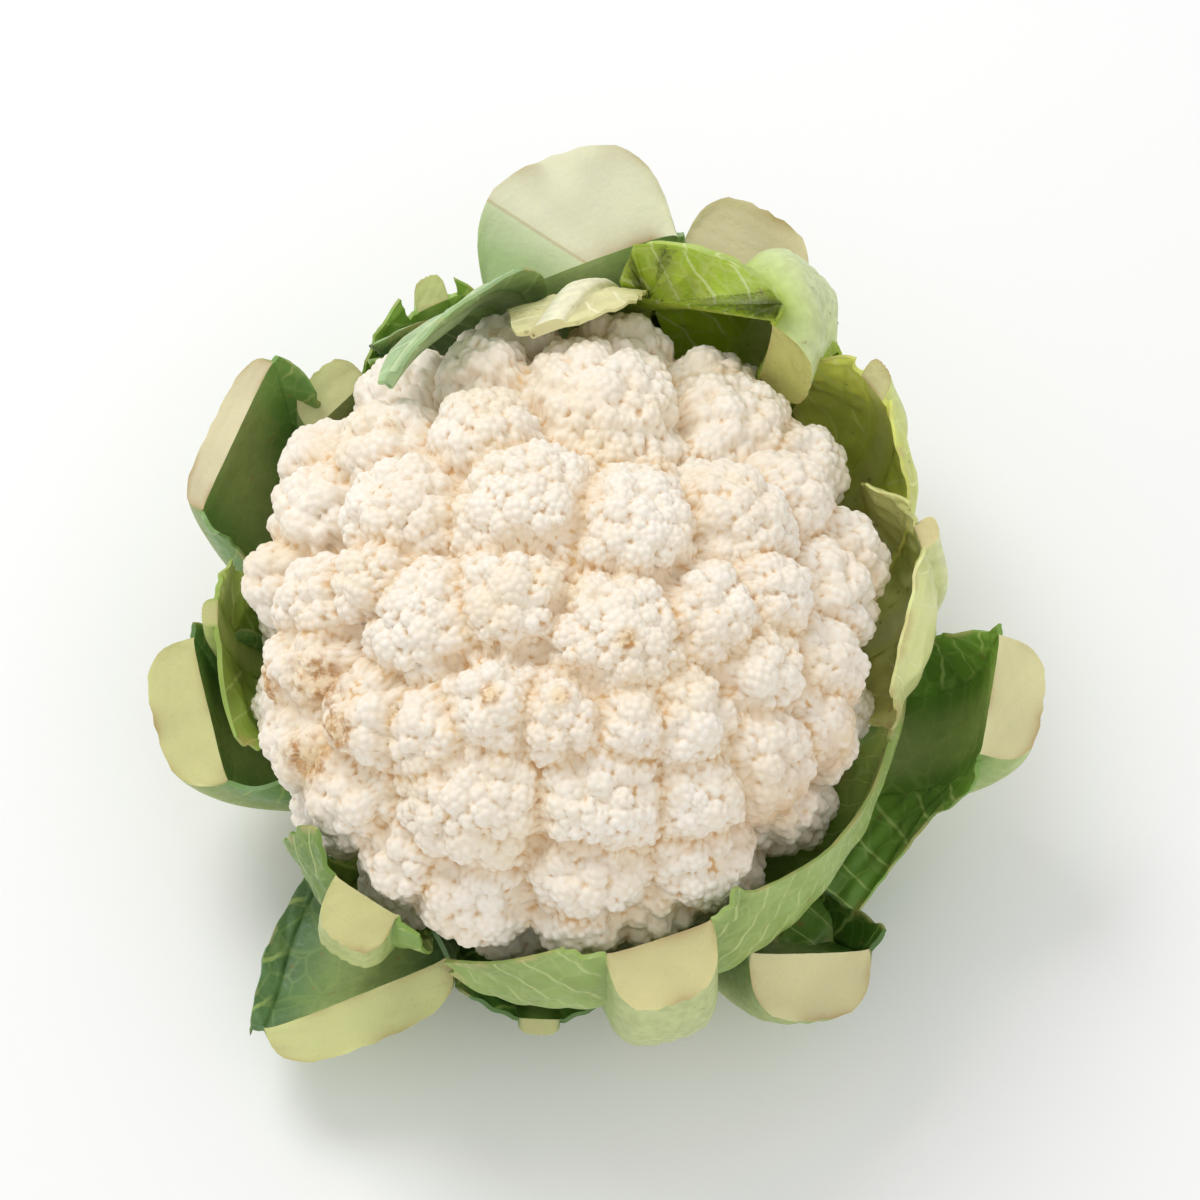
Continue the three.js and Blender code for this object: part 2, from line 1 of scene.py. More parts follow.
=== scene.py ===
"""The looks of a whole trimmed cauliflower: beaded florets, veined leaves and a cut stalk
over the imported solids. Lengths in the tables are millimetres, and meshes are metres."""
import math

import bpy
import numpy as np
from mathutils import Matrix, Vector


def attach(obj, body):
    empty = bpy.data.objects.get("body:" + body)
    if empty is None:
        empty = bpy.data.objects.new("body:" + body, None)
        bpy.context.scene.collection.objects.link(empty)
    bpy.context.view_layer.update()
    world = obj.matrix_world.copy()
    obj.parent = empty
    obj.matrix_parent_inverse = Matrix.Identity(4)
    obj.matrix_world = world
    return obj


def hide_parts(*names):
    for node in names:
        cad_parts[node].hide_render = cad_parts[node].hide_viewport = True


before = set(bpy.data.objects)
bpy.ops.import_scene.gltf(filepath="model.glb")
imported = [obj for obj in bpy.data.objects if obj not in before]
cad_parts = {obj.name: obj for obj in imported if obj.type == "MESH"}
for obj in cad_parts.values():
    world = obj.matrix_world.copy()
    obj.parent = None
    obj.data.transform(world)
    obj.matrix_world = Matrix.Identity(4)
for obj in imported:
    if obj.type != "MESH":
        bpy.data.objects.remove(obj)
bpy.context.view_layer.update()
MM = 0.001

# The curd's form, as in the solids.
CURD = {"height": 68, "across": 80, "deep": 84, "rise": 63, "drop": 34}
HEART = {"share": 0.82, "drop": 38, "level": 40.3}
MIDDLE = np.array([0.0, 0.0, CURD["height"]])
FLORET_SINK = 0.94
RIM = {"count": 16, "level": -12, "radius": 15, "start": 11, "end": 371}
BACK = {"count": 7, "level": 14, "radius": 16, "start": 10, "end": 170}
FACE_TILT = 62

# Florets in the face view: across, up and radius.
FLORETS = [
    [9, 62, 21], [48, 58, 20], [57, 36, 13], [-20, 67, 12], [-9, 75, 9],
    [-44, 49, 14], [-20, 51, 14], [-39, 33, 16], [-9, 33, 19], [-62, 33, 15],
    [-60, 9, 13], [-46, 15, 11], [-71, 16, 11], [-33, 5, 16], [-12, 11, 15],
    [18, 28, 17], [43, 29, 17], [14, 1, 19], [36, 7, 14], [50, 12, 12],
    [67, 12, 16], [64, -6, 14], [48, -6, 12], [-16, -14, 14], [0, -17, 12],
    [17, -18, 10], [30, -18, 13], [49, -28, 16], [10, -37, 17], [33, -36, 13],
    [-62, -6, 14], [-46, -18, 13], [-62, -24, 15], [-51, -37, 15], [-21, -37, 20],
    [-31, -22, 12], [8, -55, 16], [32, -53, 16], [-22, -61, 17], [6, -66, 13],
    [62, -19, 12], [-38, -53, 12], [23, -64, 12],
]
SHAVED = [[54, -42, 11, 5], [69, -27, 11, 4]]

# The florets' surface: mesh fineness, lumps on the florets and beads on the lumps.
SKIN = {"frequency": 152, "quick": 90, "shift": 0.4, "blend": 1.6, "steps": 14,
        "stride": 0.9, "start": 12.0, "heart": 0.8}
CALM = 0.45
SWELL = 1.1
SUNK = 0.62
LUMP = {"plump": 0.72, "deepest": 0.3, "lift": 0.7, "crease": 0.7, "spread": 0.1, "lowered": 0.08,
        "small": 0}
LUMP_SPACING = {"least": 6.5, "most": 13, "blob": 16}
BEAD = {"plump": 0.9, "deepest": 0.3, "lift": 0.2, "crease": 0.4, "spread": 0.12, "lowered": 0.05,
        "small": 2.2}
BEAD_SPACING = {"top": 1.9, "flank": 2.8}
FILL = {"share": 0.55, "below": 0.8}
CREASE = {"depth": 1.7, "width": 1.9}

# Brown bruises on the curd: across and up in the face view, and their size.
BRUISES = [(-58, -9, 8), (-52, -20, 6), (-60, -27, 6.5), (-70, -10, 5), (-16, -11, 3), (0, -11.5, 2.5),
           (15, 1, 2.6), (53, 50, 3), (-40, 52, 3), (63, -40, 4)]

# Leaves, as in the solids.
BLADE = 1.2
AIM = 112
PAST = 4
LAYER = {"first": 2.2, "step": 2.2}
FRINGE = 0.6
STAND = 10
WAVE = {"height": 1.6, "turn": 16.1}
WING_STEP = 20
HOLLOW = 0.07
BELLY = 3
LEAF_GRID = {"rows": 58, "quick": 40, "past": 8, "step": 1.7, "rib": 23, "cap": 15}
RAGGED = {"middle": 0.95, "slow": 0.03, "fast": 0.02}
PUCKER = {"height": 0.8, "along": 0.75, "out": 7, "reach": 12}
RIDGE = {"turns": 19, "height": 0.22, "within": 0.12}
CAP = {"thin": 4, "thick": 16, "dish": 0.9, "rough": 0.25, "blob": 3.5, "still": 0.05, "worn": 0.6}
VEIN = {"lean": 0.75, "bend": 0.012, "offset": 5.0, "spacing": 12.5, "wide": 0.9, "thin": 0.32, "net": 7.5,
        "faint": 0.28}
SPARE = 3

# The thickest stump's skin shows beside its cut, past a line in the face view.
FLANK = {"leaf_back_stump": {"line": [(-14.6, 106.1), (14.6, 87.4)], "steep": 0.47, "fade": 12}}
NO_FLANK = -9
# A leaf's look: blade, rib and cut face as seen in the photograph's light, 0 to 255.
LEAVES = [
    {"name": "leaf_back_stump", "layer": 2, "flaps": True, "twist": 22,
     "look": [(150, 182, 122), (206, 222, 166), (238, 236, 206)],
     "path": [[88, 14, 24], [88, 50, 26], [88, 81, 42], [87, 93, 64], [87, 95, 85]],
     "width": [30, 42, 49], "thick": [14, 20, 24], "cut": [-82, 62],
     "ccw": {"reach": [[0.28, 2], [0.43, 14], [0.57, 34], [0.71, 50], [0.86, 32], [1, 3]],
             "angle": [10, 100]},
     "cw": {"reach": [[0.4, 2], [0.7, 16], [0.86, 12], [1, 2]], "angle": [20, 60]}},
    {"name": "leaf_front_wrapping", "layer": 0, "aim": 62,
     "look": [(150, 178, 84), (196, 206, 142), (216, 208, 148)],
     "path": [[-74, 14, 24], [-74, 46, 24], [-74, 76, 34], [-75, 87, 56], [-75, 86, 82]],
     "width": [22, 26, 25], "thick": [11, 12, 12], "cut": [-90, 58],
     "ccw": {"reach": [[0.28, 4], [0.43, 26], [0.57, 66], [0.71, 94], [0.86, 74], [1, 14]],
             "angle": [12, 70]},
     "cw": {"reach": [[0.35, 4], [0.71, 40], [0.86, 38], [1, 10]], "angle": [10, 45]}},
    {"name": "leaf_right_stump", "layer": 2,
     "look": [(114, 158, 58), (190, 206, 132), (222, 216, 164)],
     "path": [[-5, 14, 19], [-5, 50, 18], [-6, 86, 28], [-7, 100, 46], [-7, 103, 64]],
     "width": [24, 26, 26], "thick": [11, 13, 13], "cut": [-62, 58],
     "ccw": {"reach": [[0.4, 3], [0.7, 20], [0.9, 14], [1, 4]], "angle": [40, 95]},
     "cw": {"reach": [[0.3, 6], [0.42, 48], [0.52, 56], [0.62, 30], [0.76, 10], [1, 3]], "angle": [15, 5]}},
    # Its dark blade colour is partly the leaf's own green and partly painted shade from lying under the
    # curd.
    {"name": "leaf_lower_right_stump", "layer": 2, "twist": -34,
     "look": [(70, 108, 34), (170, 186, 112), (220, 212, 160)],
     "path": [[-50, 14, 21], [-50, 46, 20], [-51, 76, 26], [-51, 89, 37], [-51, 93, 48]],
     "width": [24, 28, 30], "thick": [12, 15, 15], "cut": [-62, 55],
     "ccw": {"reach": [[0.45, 3], [0.75, 12], [1, 6]], "angle": [60, 110]},
     "cw": {"reach": [[0.4, 4], [0.65, 28], [0.85, 32], [1, 24]], "angle": [55, 85]}},
    {"name": "leaf_lower_left_stump", "layer": 2, "flaps": True, "twist": 48,
     "look": [(92, 128, 74), (176, 192, 110), (216, 218, 150)],
     "path": [[-150, 14, 22], [-141, 42, 19], [-131, 68, 20], [-125, 84, 26], [-123, 91, 33]],
     "width": [24, 38, 48], "thick": [11, 12, 12], "cut": [-105, 60],
     "ccw": {"reach": [[0.4, 3], [0.7, 20], [1, 30]], "angle": [90, 140]},
     "cw": {"reach": [[0.4, 2], [0.8, 6], [1, 4]], "angle": [60, 90]}},
    {"name": "leaf_left_stump", "layer": 1,
     "look": [(106, 148, 72), (178, 190, 110), (218, 216, 150)],
     "path": [[-171, 14, 23], [-171, 46, 22], [-172, 74, 31], [-172, 83, 42], [-172, 86, 54]],
     "width": [20, 28, 31], "thick": [9, 12, 14], "cut": [-105, 55],
     "ccw": {"reach": [[0.4, 4], [0.65, 20], [0.85, 16], [1, 6]], "angle": [50, 120]},
     "cw": {"reach": [[0.4, 3], [0.65, 20], [0.9, 18], [1, 8]], "angle": [50, 100]}},
    {"name": "leaf_upper_left_stump", "layer": 2,
     "look": [(112, 154, 72), (176, 186, 116), (222, 212, 172)],
     "path": [[147, 14, 20], [147, 50, 20], [147, 80, 36], [147, 92, 56], [147, 95, 76]],
     "width": [26, 34, 36], "thick": [10, 10, 8], "cut": [-150, 58],
     "ccw": {"reach": [[0.5, 3], [0.75, 12], [1, 6]], "angle": [60, 110]},
     "cw": {"reach": [[0.4, 3], [0.6, 16], [0.85, 16], [1, 8]], "angle": [55, 100]}},
    {"name": "leaf_upper_left_inner", "layer": 0, "flaps": True,
     "look": [(128, 162, 78), (206, 214, 150), (212, 214, 152)],
     "path": [[131, 14, 32], [131, 48, 31], [131, 78, 42], [131, 86, 56], [131, 85, 70]],
     "width": [14, 18, 18], "thick": [6, 8, 9], "cut": [-90, 60],
     "ccw": {"reach": [[0.5, 2], [0.8, 6], [1, 3]], "angle": [60, 90]},
     "cw": {"reach": [[0.4, 2], [0.7, 18], [0.9, 24], [1, 22]], "angle": [40, 80]}},
    {"name": "leaf_upper_left_torn", "layer": 1, "flaps": True,
     "look": [(150, 186, 78), (196, 212, 128), (206, 212, 140)],
     "path": [[113, 14, 18], [113, 50, 19], [112, 82, 36], [111, 93, 56], [110, 96, 76]],
     "width": [12, 11, 8], "thick": [6, 6, 5], "cut": [-95, 60],
     "ccw": {"reach": [[0.4, 3], [0.7, 18], [0.9, 22], [1, 16]], "angle": [10, 50]},
     "cw": {"reach": [[0.4, 3], [0.7, 14], [0.9, 16], [1, 10]], "angle": [10, 40]}},
    {"name": "leaf_back_pale", "layer": 0,
     "look": [(230, 224, 160), (244, 240, 206), (238, 230, 180)],
     "path": [[83, 14, 36], [83, 48, 36], [83, 80, 50], [83, 88, 66], [84, 87, 84],
              [87, 74, 105], [93, 56, 118]],
     "width": [14, 12, 8], "thick": [5, 4, 2], "cut": [-90, 30],
     "ccw": {"reach": [[0.5, 3], [0.75, 7], [0.9, 13], [1, 6]], "angle": [10, 20]},
     "cw": {"reach": [[0.5, 3], [0.75, 9], [0.9, 13], [1, 5]], "angle": [10, 20]}},
    {"name": "leaf_back_flap", "layer": 1,
     "look": [(158, 190, 128), (196, 214, 162), (190, 206, 150)],
     "path": [[98, 14, 30], [98, 48, 30], [98, 80, 44], [98, 88, 64], [99, 87, 84],
              [104, 79, 100], [112, 69, 109], [123, 62, 114], [133, 57, 118]],
     "width": [10, 8, 5], "thick": [4, 3, 1.5], "cut": [-116, 20],
     "ccw": {"reach": [[0.45, 2], [0.62, 6], [0.75, 9], [0.9, 10], [1, 3]], "angle": [5, 15]},
     "cw": {"reach": [[0.45, 2], [0.62, 6], [0.75, 12], [0.9, 12], [1, 3]], "angle": [5, 15]}},
    {"name": "leaf_upper_right_bent", "layer": 1, "flaps": True,
     "look": [(172, 200, 44), (212, 224, 164), (204, 206, 124)],
     "path": [[56, 14, 32], [56, 48, 32], [56, 82, 48], [56, 95, 70], [57, 97, 88],
              [54, 88, 99], [51, 77, 101]],
     "width": [20, 26, 26], "thick": [9, 12, 12], "cut": [-129, 5],
     "ccw": {"reach": [[0.4, 3], [0.6, 16], [0.72, 34], [0.84, 34], [0.93, 16], [1, 4]], "angle": [15, 60]},
     "cw": {"reach": [[0.4, 2], [0.7, 8], [1, 1]], "angle": [20, 60]}},
    {"name": "leaf_upper_right_stump", "layer": 2, "flaps": True,
     "look": [(160, 180, 88), (214, 214, 158), (226, 214, 176)],
     "path": [[68, 14, 18], [68, 54, 20], [68, 88, 40], [67, 104, 62], [66, 107, 78]],
     "width": [22, 28, 32], "thick": [10, 12, 12], "cut": [-100, 55],
     "ccw": {"reach": [[0.5, 2], [0.8, 6], [1, 1]], "angle": [20, 60]},
     "cw": {"reach": [[0.45, 3], [0.7, 20], [0.9, 16], [1, 12]], "angle": [0, 10]}},
    # The next two leaves' colours are lightened as painted light against the shade between them and the
    # curd.
    {"name": "leaf_right_folded", "layer": 1, "flaps": True,
     "look": [(224, 232, 110), (222, 230, 156), (222, 218, 160)],
     "path": [[33, 14, 29], [33, 50, 31], [33, 84, 50], [34, 95, 74], [36, 92, 96]],
     "width": [13, 11, 7], "thick": [6, 6, 4], "cut": [-120, 40],
     "ccw": {"reach": [[0.4, 3], [0.65, 18], [0.85, 28], [1, 14]], "angle": [8, 50]},
     "cw": {"reach": [[0.4, 3], [0.65, 24], [0.85, 30], [1, 12]], "angle": [8, 55]}},
    {"name": "leaf_right_inner", "layer": 0, "flaps": True,
     "look": [(228, 232, 150), (230, 234, 178), (224, 214, 160)],
     "path": [[8, 14, 34], [8, 48, 35], [9, 80, 48], [10, 89, 66], [12, 87, 86]],
     "width": [13, 11, 7], "thick": [5, 5, 4], "cut": [-160, 50],
     "ccw": {"reach": [[0.4, 3], [0.65, 20], [0.85, 28], [1, 18]], "angle": [8, 60]},
     "cw": {"reach": [[0.4, 3], [0.65, 34], [0.85, 42], [1, 20]], "angle": [8, 60]}},
    {"name": "leaf_left_inner", "layer": 0,
     "look": [(150, 178, 72), (192, 206, 126), (206, 204, 140)],
     "path": [[176, 14, 36], [176, 48, 36], [176, 76, 46], [177, 82, 62], [177, 83, 74]],
     "width": [11, 10, 6], "thick": [5, 5, 3], "cut": [-120, 60],
     "ccw": {"reach": [[0.4, 3], [0.75, 28], [1, 20]], "angle": [8, 50]},
     "cw": {"reach": [[0.4, 3], [0.75, 16], [1, 12]], "angle": [8, 40]}},
    {"name": "leaf_lower_left_inner", "layer": 0,
     "look": [(120, 156, 56), (194, 204, 130), (214, 210, 144)],
     "path": [[-128, 14, 33], [-128, 44, 33], [-127, 74, 42], [-124, 84, 58], [-122, 84, 78]],
     "width": [14, 18, 17], "thick": [6, 8, 9], "cut": [-100, 50],
     "ccw": {"reach": [[0.5, 3], [0.8, 12], [1, 6]], "angle": [20, 60]},
     "cw": {"reach": [[0.5, 3], [0.8, 20], [1, 16]], "angle": [20, 60]}},
    # Its dark blade colour is partly the leaf's own green and partly painted shade from lying under the
    # curd.
    {"name": "leaf_front_lowest", "layer": 2,
     "look": [(70, 110, 40), (150, 172, 96), (190, 190, 130)],
     "path": [[-96, 14, 14], [-96, 46, 13], [-95, 66, 17], [-94, 81, 26]],
     "width": [16, 14, 10], "thick": [6, 6, 4], "cut": [-90, 30],
     "ccw": {"reach": [[0.4, 3], [0.7, 22], [1, 16]], "angle": [25, 35]},
     "cw": {"reach": [[0.4, 3], [0.7, 22], [1, 18]], "angle": [25, 35]}},
]


# Small helpers.

def unit(vectors):
    return vectors / np.maximum(np.linalg.norm(vectors, axis=-1, keepdims=True), 1e-9)


def smooth(low, high, value):
    share = np.clip((value - low) / (high - low), 0, 1)
    return share * share * (3 - 2 * share)


def around(degrees, radius, height):
    angle = math.radians(degrees)
    return np.array([radius * math.cos(angle), radius * math.sin(angle), height])


def heading(degrees, up):
    return around(degrees, math.cos(math.radians(up)), math.sin(math.radians(up)))


def noise(points, scale, seed, octaves=3):
    """A cheap smooth noise from -1 to 1: sums of sine waves in turned directions."""
    source = np.random.RandomState(seed)
    total = np.zeros(len(points))
    weight = 0
    for octave in range(octaves):
        share = 0.55 ** octave
        for _ in range(4):
            direction = source.normal(size=3)
            wave = direction / np.linalg.norm(direction) * 2 * math.pi * 1.9 ** octave / scale
            total += share * np.sin(points @ wave + source.uniform(0, 6.28))
        weight += share * 2.2
    return np.clip(total / weight, -1, 1)


def mesh_object(name, points, faces, slot, nodes, material, **values):
    """A piece from points in millimetres and faces that all have three or all four corners."""
    mesh = bpy.data.meshes.new(name)
    faces = np.asarray(faces, np.int32)
    corners = faces.shape[1]
    mesh.vertices.add(len(points))
    mesh.vertices.foreach_set("co", (np.asarray(points) * MM).astype(np.float32).ravel())
    mesh.loops.add(faces.size)
    mesh.loops.foreach_set("vertex_index", faces.ravel())
    mesh.polygons.add(len(faces))
    mesh.polygons.foreach_set("loop_start", np.arange(0, faces.size, corners, dtype=np.int32))
    mesh.polygons.foreach_set("use_smooth", np.ones(len(faces), bool))
    mesh.update(calc_edges=True)
    for key, value in values.items():
        layer = mesh.attributes.new(key, "FLOAT", "POINT")
        layer.data.foreach_set("value", np.asarray(value, np.float32))
    mesh.materials.append(material)
    piece = bpy.data.objects.new(name, mesh)
    bpy.context.scene.collection.objects.link(piece)
    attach(piece, "root")
    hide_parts(*nodes)
    return piece


def vertex_normals(points, faces):
    corner = points[faces]
    normal = np.cross(corner[:, 1] - corner[:, 0], corner[:, 2] - corner[:, 0])
    total = np.zeros_like(points)
    for i in range(3):
        np.add.at(total, faces[:, i], normal)
    return unit(total)


# The curd.

def under_curd(across, up, inset):
    """The point across and up in the face view that lies inset under the curd's form."""
    tilt = math.radians(FACE_TILT)
    screen_up = np.array([0, math.sin(tilt), math.cos(tilt)])
    to_eye = np.array([0, -math.cos(tilt), math.sin(tilt)])
    flat = np.array([across, 0, 0]) + screen_up * up
    for high in (CURD["rise"], CURD["drop"]):
        scale = 1 / (np.array([CURD["across"], CURD["deep"], high]) - inset)
        origin, step = flat * scale, to_eye * scale
        room = (origin @ step) ** 2 - (step @ step) * (origin @ origin - 1)
        if room < 0:
            return under_curd(across * 0.98, up * 0.98, inset)
        place = flat + to_eye * (math.sqrt(room) - origin @ step) / (step @ step)
        if high == CURD["drop"] or place[2] >= 0:
            return place + MIDDLE


def floret_ring(count, level, radius, start, end):
    high = CURD["drop"] if level < 0 else CURD["rise"]
    share = math.sqrt(1 - (level / high) ** 2)
    ring = []
    for i in range(count):
        angle = math.radians(start + (end - start) * i / count)
        x = math.cos(angle) * (CURD["across"] * share - radius * FLORET_SINK)
        y = math.sin(angle) * (CURD["deep"] * share - radius * FLORET_SINK)
        ring.append((np.array([x, y, CURD["height"] + level]), radius))
    return ring


def form_normal(point):
    """The direction straight out of the curd's form."""
    away = point - MIDDLE
    high = CURD["drop"] if away[2] < 0 else CURD["rise"]
    return unit(away / np.array([CURD["across"], CURD["deep"], high]) ** 2)


def seen_ball(across, up, radius, lowered=0.0):
    """A floret's ball whose dome stands under a point of the face view, its top lowered below the form."""
    radius *= SWELL
    place = under_curd(across, up, radius * (1 - SUNK) + lowered)
    return place - form_normal(place) * radius * SUNK, radius


def floret_balls():
    seen = [seen_ball(*numbers) for numbers in FLORETS + SHAVED]
    return seen + floret_ring(**RIM) + floret_ring(**BACK)


def icosahedron():
    crease_shade_tint = (1 + math.sqrt(5)) / 2
    corners = [(-1, crease_shade_tint, 0), (1, crease_shade_tint, 0), (-1, -crease_shade_tint, 0), (1, -crease_shade_tint, 0),
               (0, -1, crease_shade_tint), (0, 1, crease_shade_tint), (0, -1, -crease_shade_tint), (0, 1, -crease_shade_tint),
               (crease_shade_tint, 0, -1), (crease_shade_tint, 0, 1), (-crease_shade_tint, 0, -1), (-crease_shade_tint, 0, 1)]
    faces = [(0, 11, 5), (0, 5, 1), (0, 1, 7), (0, 7, 10), (0, 10, 11),
             (1, 5, 9), (5, 11, 4), (11, 10, 2), (10, 7, 6), (7, 1, 8),
             (3, 9, 4), (3, 4, 2), (3, 2, 6), (3, 6, 8), (3, 8, 9),
             (4, 9, 5), (2, 4, 11), (6, 2, 10), (8, 6, 7), (9, 8, 1)]
    return np.array(corners, float), faces


def geodesic(frequency):
    """An even ball of triangles: directions and faces."""
    corners, big = icosahedron()
    index, weights = {}, []
    for i in range(frequency + 1):
        for j in range(frequency + 1 - i):
            index[i, j] = len(weights)
            weights.append((frequency - i - j, i, j))
    weights = np.array(weights, float) / frequency
    template = []
    for i in range(frequency):
        for j in range(frequency - i):
            template.append((index[i, j], index[i + 1, j], index[i, j + 1]))
            if i + j < frequency - 1:
                template.append((index[i + 1, j], index[i + 1, j + 1], index[i, j + 1]))
    points = np.concatenate([weights @ corners[list(face)] for face in big])
    faces = np.concatenate([np.array(template) + k * len(weights) for k in range(len(big))])
    _, first, merged = np.unique(np.round(unit(points), 5), axis=0, return_index=True, return_inverse=True)
    return unit(points)[first], merged.reshape(-1)[faces]


def spots(points, table):
    """1 at the middles of the table's spots and less away from them."""
    total = np.zeros(len(points))
    for across, up, size in table:
        off = np.linalg.norm(points - under_curd(across, up, 0.0), axis=1)
        total = np.maximum(total, np.exp(-(off / size) ** 2))
    return total


def heart_reach(way):
    high = np.where(way[:, 2] < 0, HEART["drop"], CURD["rise"] * HEART["share"])
    flat = np.hypot(way[:, 0] / CURD["across"], way[:, 1] / CURD["deep"]) / HEART["share"]
    return 1 / np.hypot(flat, way[:, 2] / high)


def blended(first, second, width):
    """The lesser of two distances, rounded off where they meet."""
    share = np.clip(0.5 + 0.5 * (second - first) / width, 0, 1)
    return second + (first - second) * share - width * share * (1 - share)


def curd_distance(points, way, balls):
    """Distance from points to the florets and the heart they grow from."""
    total = (np.linalg.norm(points - MIDDLE, axis=1) - heart_reach(way)) * SKIN["heart"]
    for centre, radius in balls:
        total = blended(total, np.linalg.norm(points - centre, axis=1) - radius, SKIN["blend"])
    return total


def ball_distances(points, balls):
    """The nearest ball of each point, and how much farther the next one is."""
    every = np.stack([np.linalg.norm(points - centre, axis=1) - radius for centre, radius in balls], 1)
    two = np.partition(every, 1, axis=1)
    return every.argmin(1), two[:, 1] - two[:, 0]


def cells_of(points, size):
    """Which points lie in each cube of space."""
    cells = {}
    for number, cell in enumerate(map(tuple, np.floor(points / size).astype(int).tolist())):
        cells.setdefault(cell, []).append(number)
    return cells


def near(cells, cell):
    """What lies in a cube and the 26 around it."""
    x, y, z = cell
    return [n for i in (x - 1, x, x + 1) for j in (y - 1, y, y + 1) for k in (z - 1, z, z + 1)
            for n in cells.get((i, j, k), ())]


def spread_out(points, spacing, seed):
    """A random choice of the points with none nearer to another than its own spacing."""
    order = np.random.RandomState(seed).permutation(len(points))
    keys = list(map(tuple, np.floor(points / spacing.max()).astype(int).tolist()))
    taken, chosen = {}, []
    for number in order.tolist():
        others = near(taken, keys[number])
        if others and ((points[others] - points[number]) ** 2).sum(1).min() < spacing[number] ** 2:
            continue
        taken.setdefault(keys[number], []).append(number)
        chosen.append(number)
    return np.array(chosen)


def domes(points, centres, radii, lowered):
    """Many small balls on a surface: how far under their tops the highest skin over each point is,
    and how much lower the next one is."""
    size = radii.max()
    small = cells_of(centres, size)
    highest, drop = np.full(len(points), -size), np.zeros(len(points))
    for cell, members in cells_of(points, size).items():
        around_it = near(small, cell)
        if len(around_it) > 1:
            square = ((points[members][:, None] - centres[around_it][None]) ** 2).sum(2)
            radius = radii[around_it][None]
            high = np.sqrt(np.maximum(radius ** 2 - square, 0)) - radius - lowered[around_it][None]
            high = np.sort(np.where(square < radius ** 2, high, -size), 1)
            highest[members] = high[:, -1]
            drop[members] = high[:, -1] - high[:, -2]
    return highest, drop


def raise_domes(points, faces, spec, spacing, seed, strength):
    """Points lifted into lumps or beads, small ones filling the holes between large ones:
    how far up each point is on its own, and how near a crease."""
    deepest = spec["deepest"] * spacing
    chosen = spread_out(points, spacing, seed)
    size = 1 + spec["spread"] * np.random.RandomState(seed + 1).uniform(-1, 1, len(chosen))
    radii = size * spacing[chosen] * spec["plump"]
    height, _ = domes(points, points[chosen], radii, np.zeros(len(chosen)))
    holes = np.flatnonzero((height < -FILL["below"] * deepest) & (spacing > spec["small"]))
    filling = holes[spread_out(points[holes], spacing[holes] * FILL["share"], seed + 2)]
    radii = np.concatenate([radii, spacing[filling] * FILL["share"] * spec["plump"]])
    lowered = np.concatenate([np.zeros(len(chosen)), spacing[filling] * spec["lowered"]])
    height, drop = domes(points, points[np.concatenate([chosen, filling])], radii, lowered)
    height = np.maximum(height, -deepest)
    lifted = vertex_normals(points, faces) * ((height + spec["lift"]) * strength)[:, None]
    return points + lifted, 1 + height / deepest, np.exp(-drop / spec["crease"])


def curd_skin(balls):
    """The whole curd's surface with its lumps and beads, before it is split into florets."""
    way, faces = geodesic(SKIN["frequency"])
    tilt = math.radians(FACE_TILT)
    way = unit(way + SKIN["shift"] * np.array([0, -math.cos(tilt), math.sin(tilt)]))
    reach = np.full(len(way), CURD["deep"] + SKIN["start"])
    for _ in range(SKIN["steps"]):
        reach -= curd_distance(MIDDLE + way * reach[:, None], way, balls) * SKIN["stride"]
    reach = np.maximum(reach, heart_reach(way))
    points = MIDDLE + way * reach[:, None]
    owner, beyond = ball_distances(points, balls)
    brown = spots(points, BRUISES)
    shaved = spots(points, [(across, up, radius) for across, up, radius, _ in SHAVED])
    calm = 1 - CALM * brown - CALM * shaved
    middling = np.clip(0.5 + noise(points, LUMP_SPACING["blob"], 5, 2), 0, 1)
    spacing = LUMP_SPACING["least"] + (LUMP_SPACING["most"] - LUMP_SPACING["least"]) * middling
    points, lump, crease = raise_domes(points, faces, LUMP, spacing, 11, calm)
    points -= unit(points - MIDDLE) * (CREASE["depth"] * np.exp(-beyond / CREASE["width"]))[:, None]
    top = smooth(0.45, 0.85, lump)
    spacing = BEAD_SPACING["flank"] + (BEAD_SPACING["top"] - BEAD_SPACING["flank"]) * top
    points, bead, _ = raise_domes(points, faces, BEAD, spacing, 23, calm)
    points[:, 2] = np.maximum(points[:, 2], HEART["level"])
    values = {"gap": np.exp(-beyond / 1.1), "crease": crease * (1 - smooth(0.3, 0.8, lump)),
              "bead": smooth(0.1, 0.75, bead), "bruise": brown, "shaved": shaved}
    return points, faces, owner, values


def build_curd(material):
    """The curd, one piece for each floret; they meet along the creases."""
    balls = floret_balls()
    points, faces, owner, values = curd_skin(balls)
    face_owner = owner[faces[:, 0]]
    for number in np.unique(face_owner):
        own = faces[face_owner == number]
        used, renumbered = np.unique(own, return_inverse=True)
        own_values = {key: value[used] for key, value in values.items()}
        mesh_object(f"curd_floret_{number + 1:02d}", points[used], renumbered.reshape(-1, 3), "curd",
                    ["curd"], material, **own_values)


# The leaves.

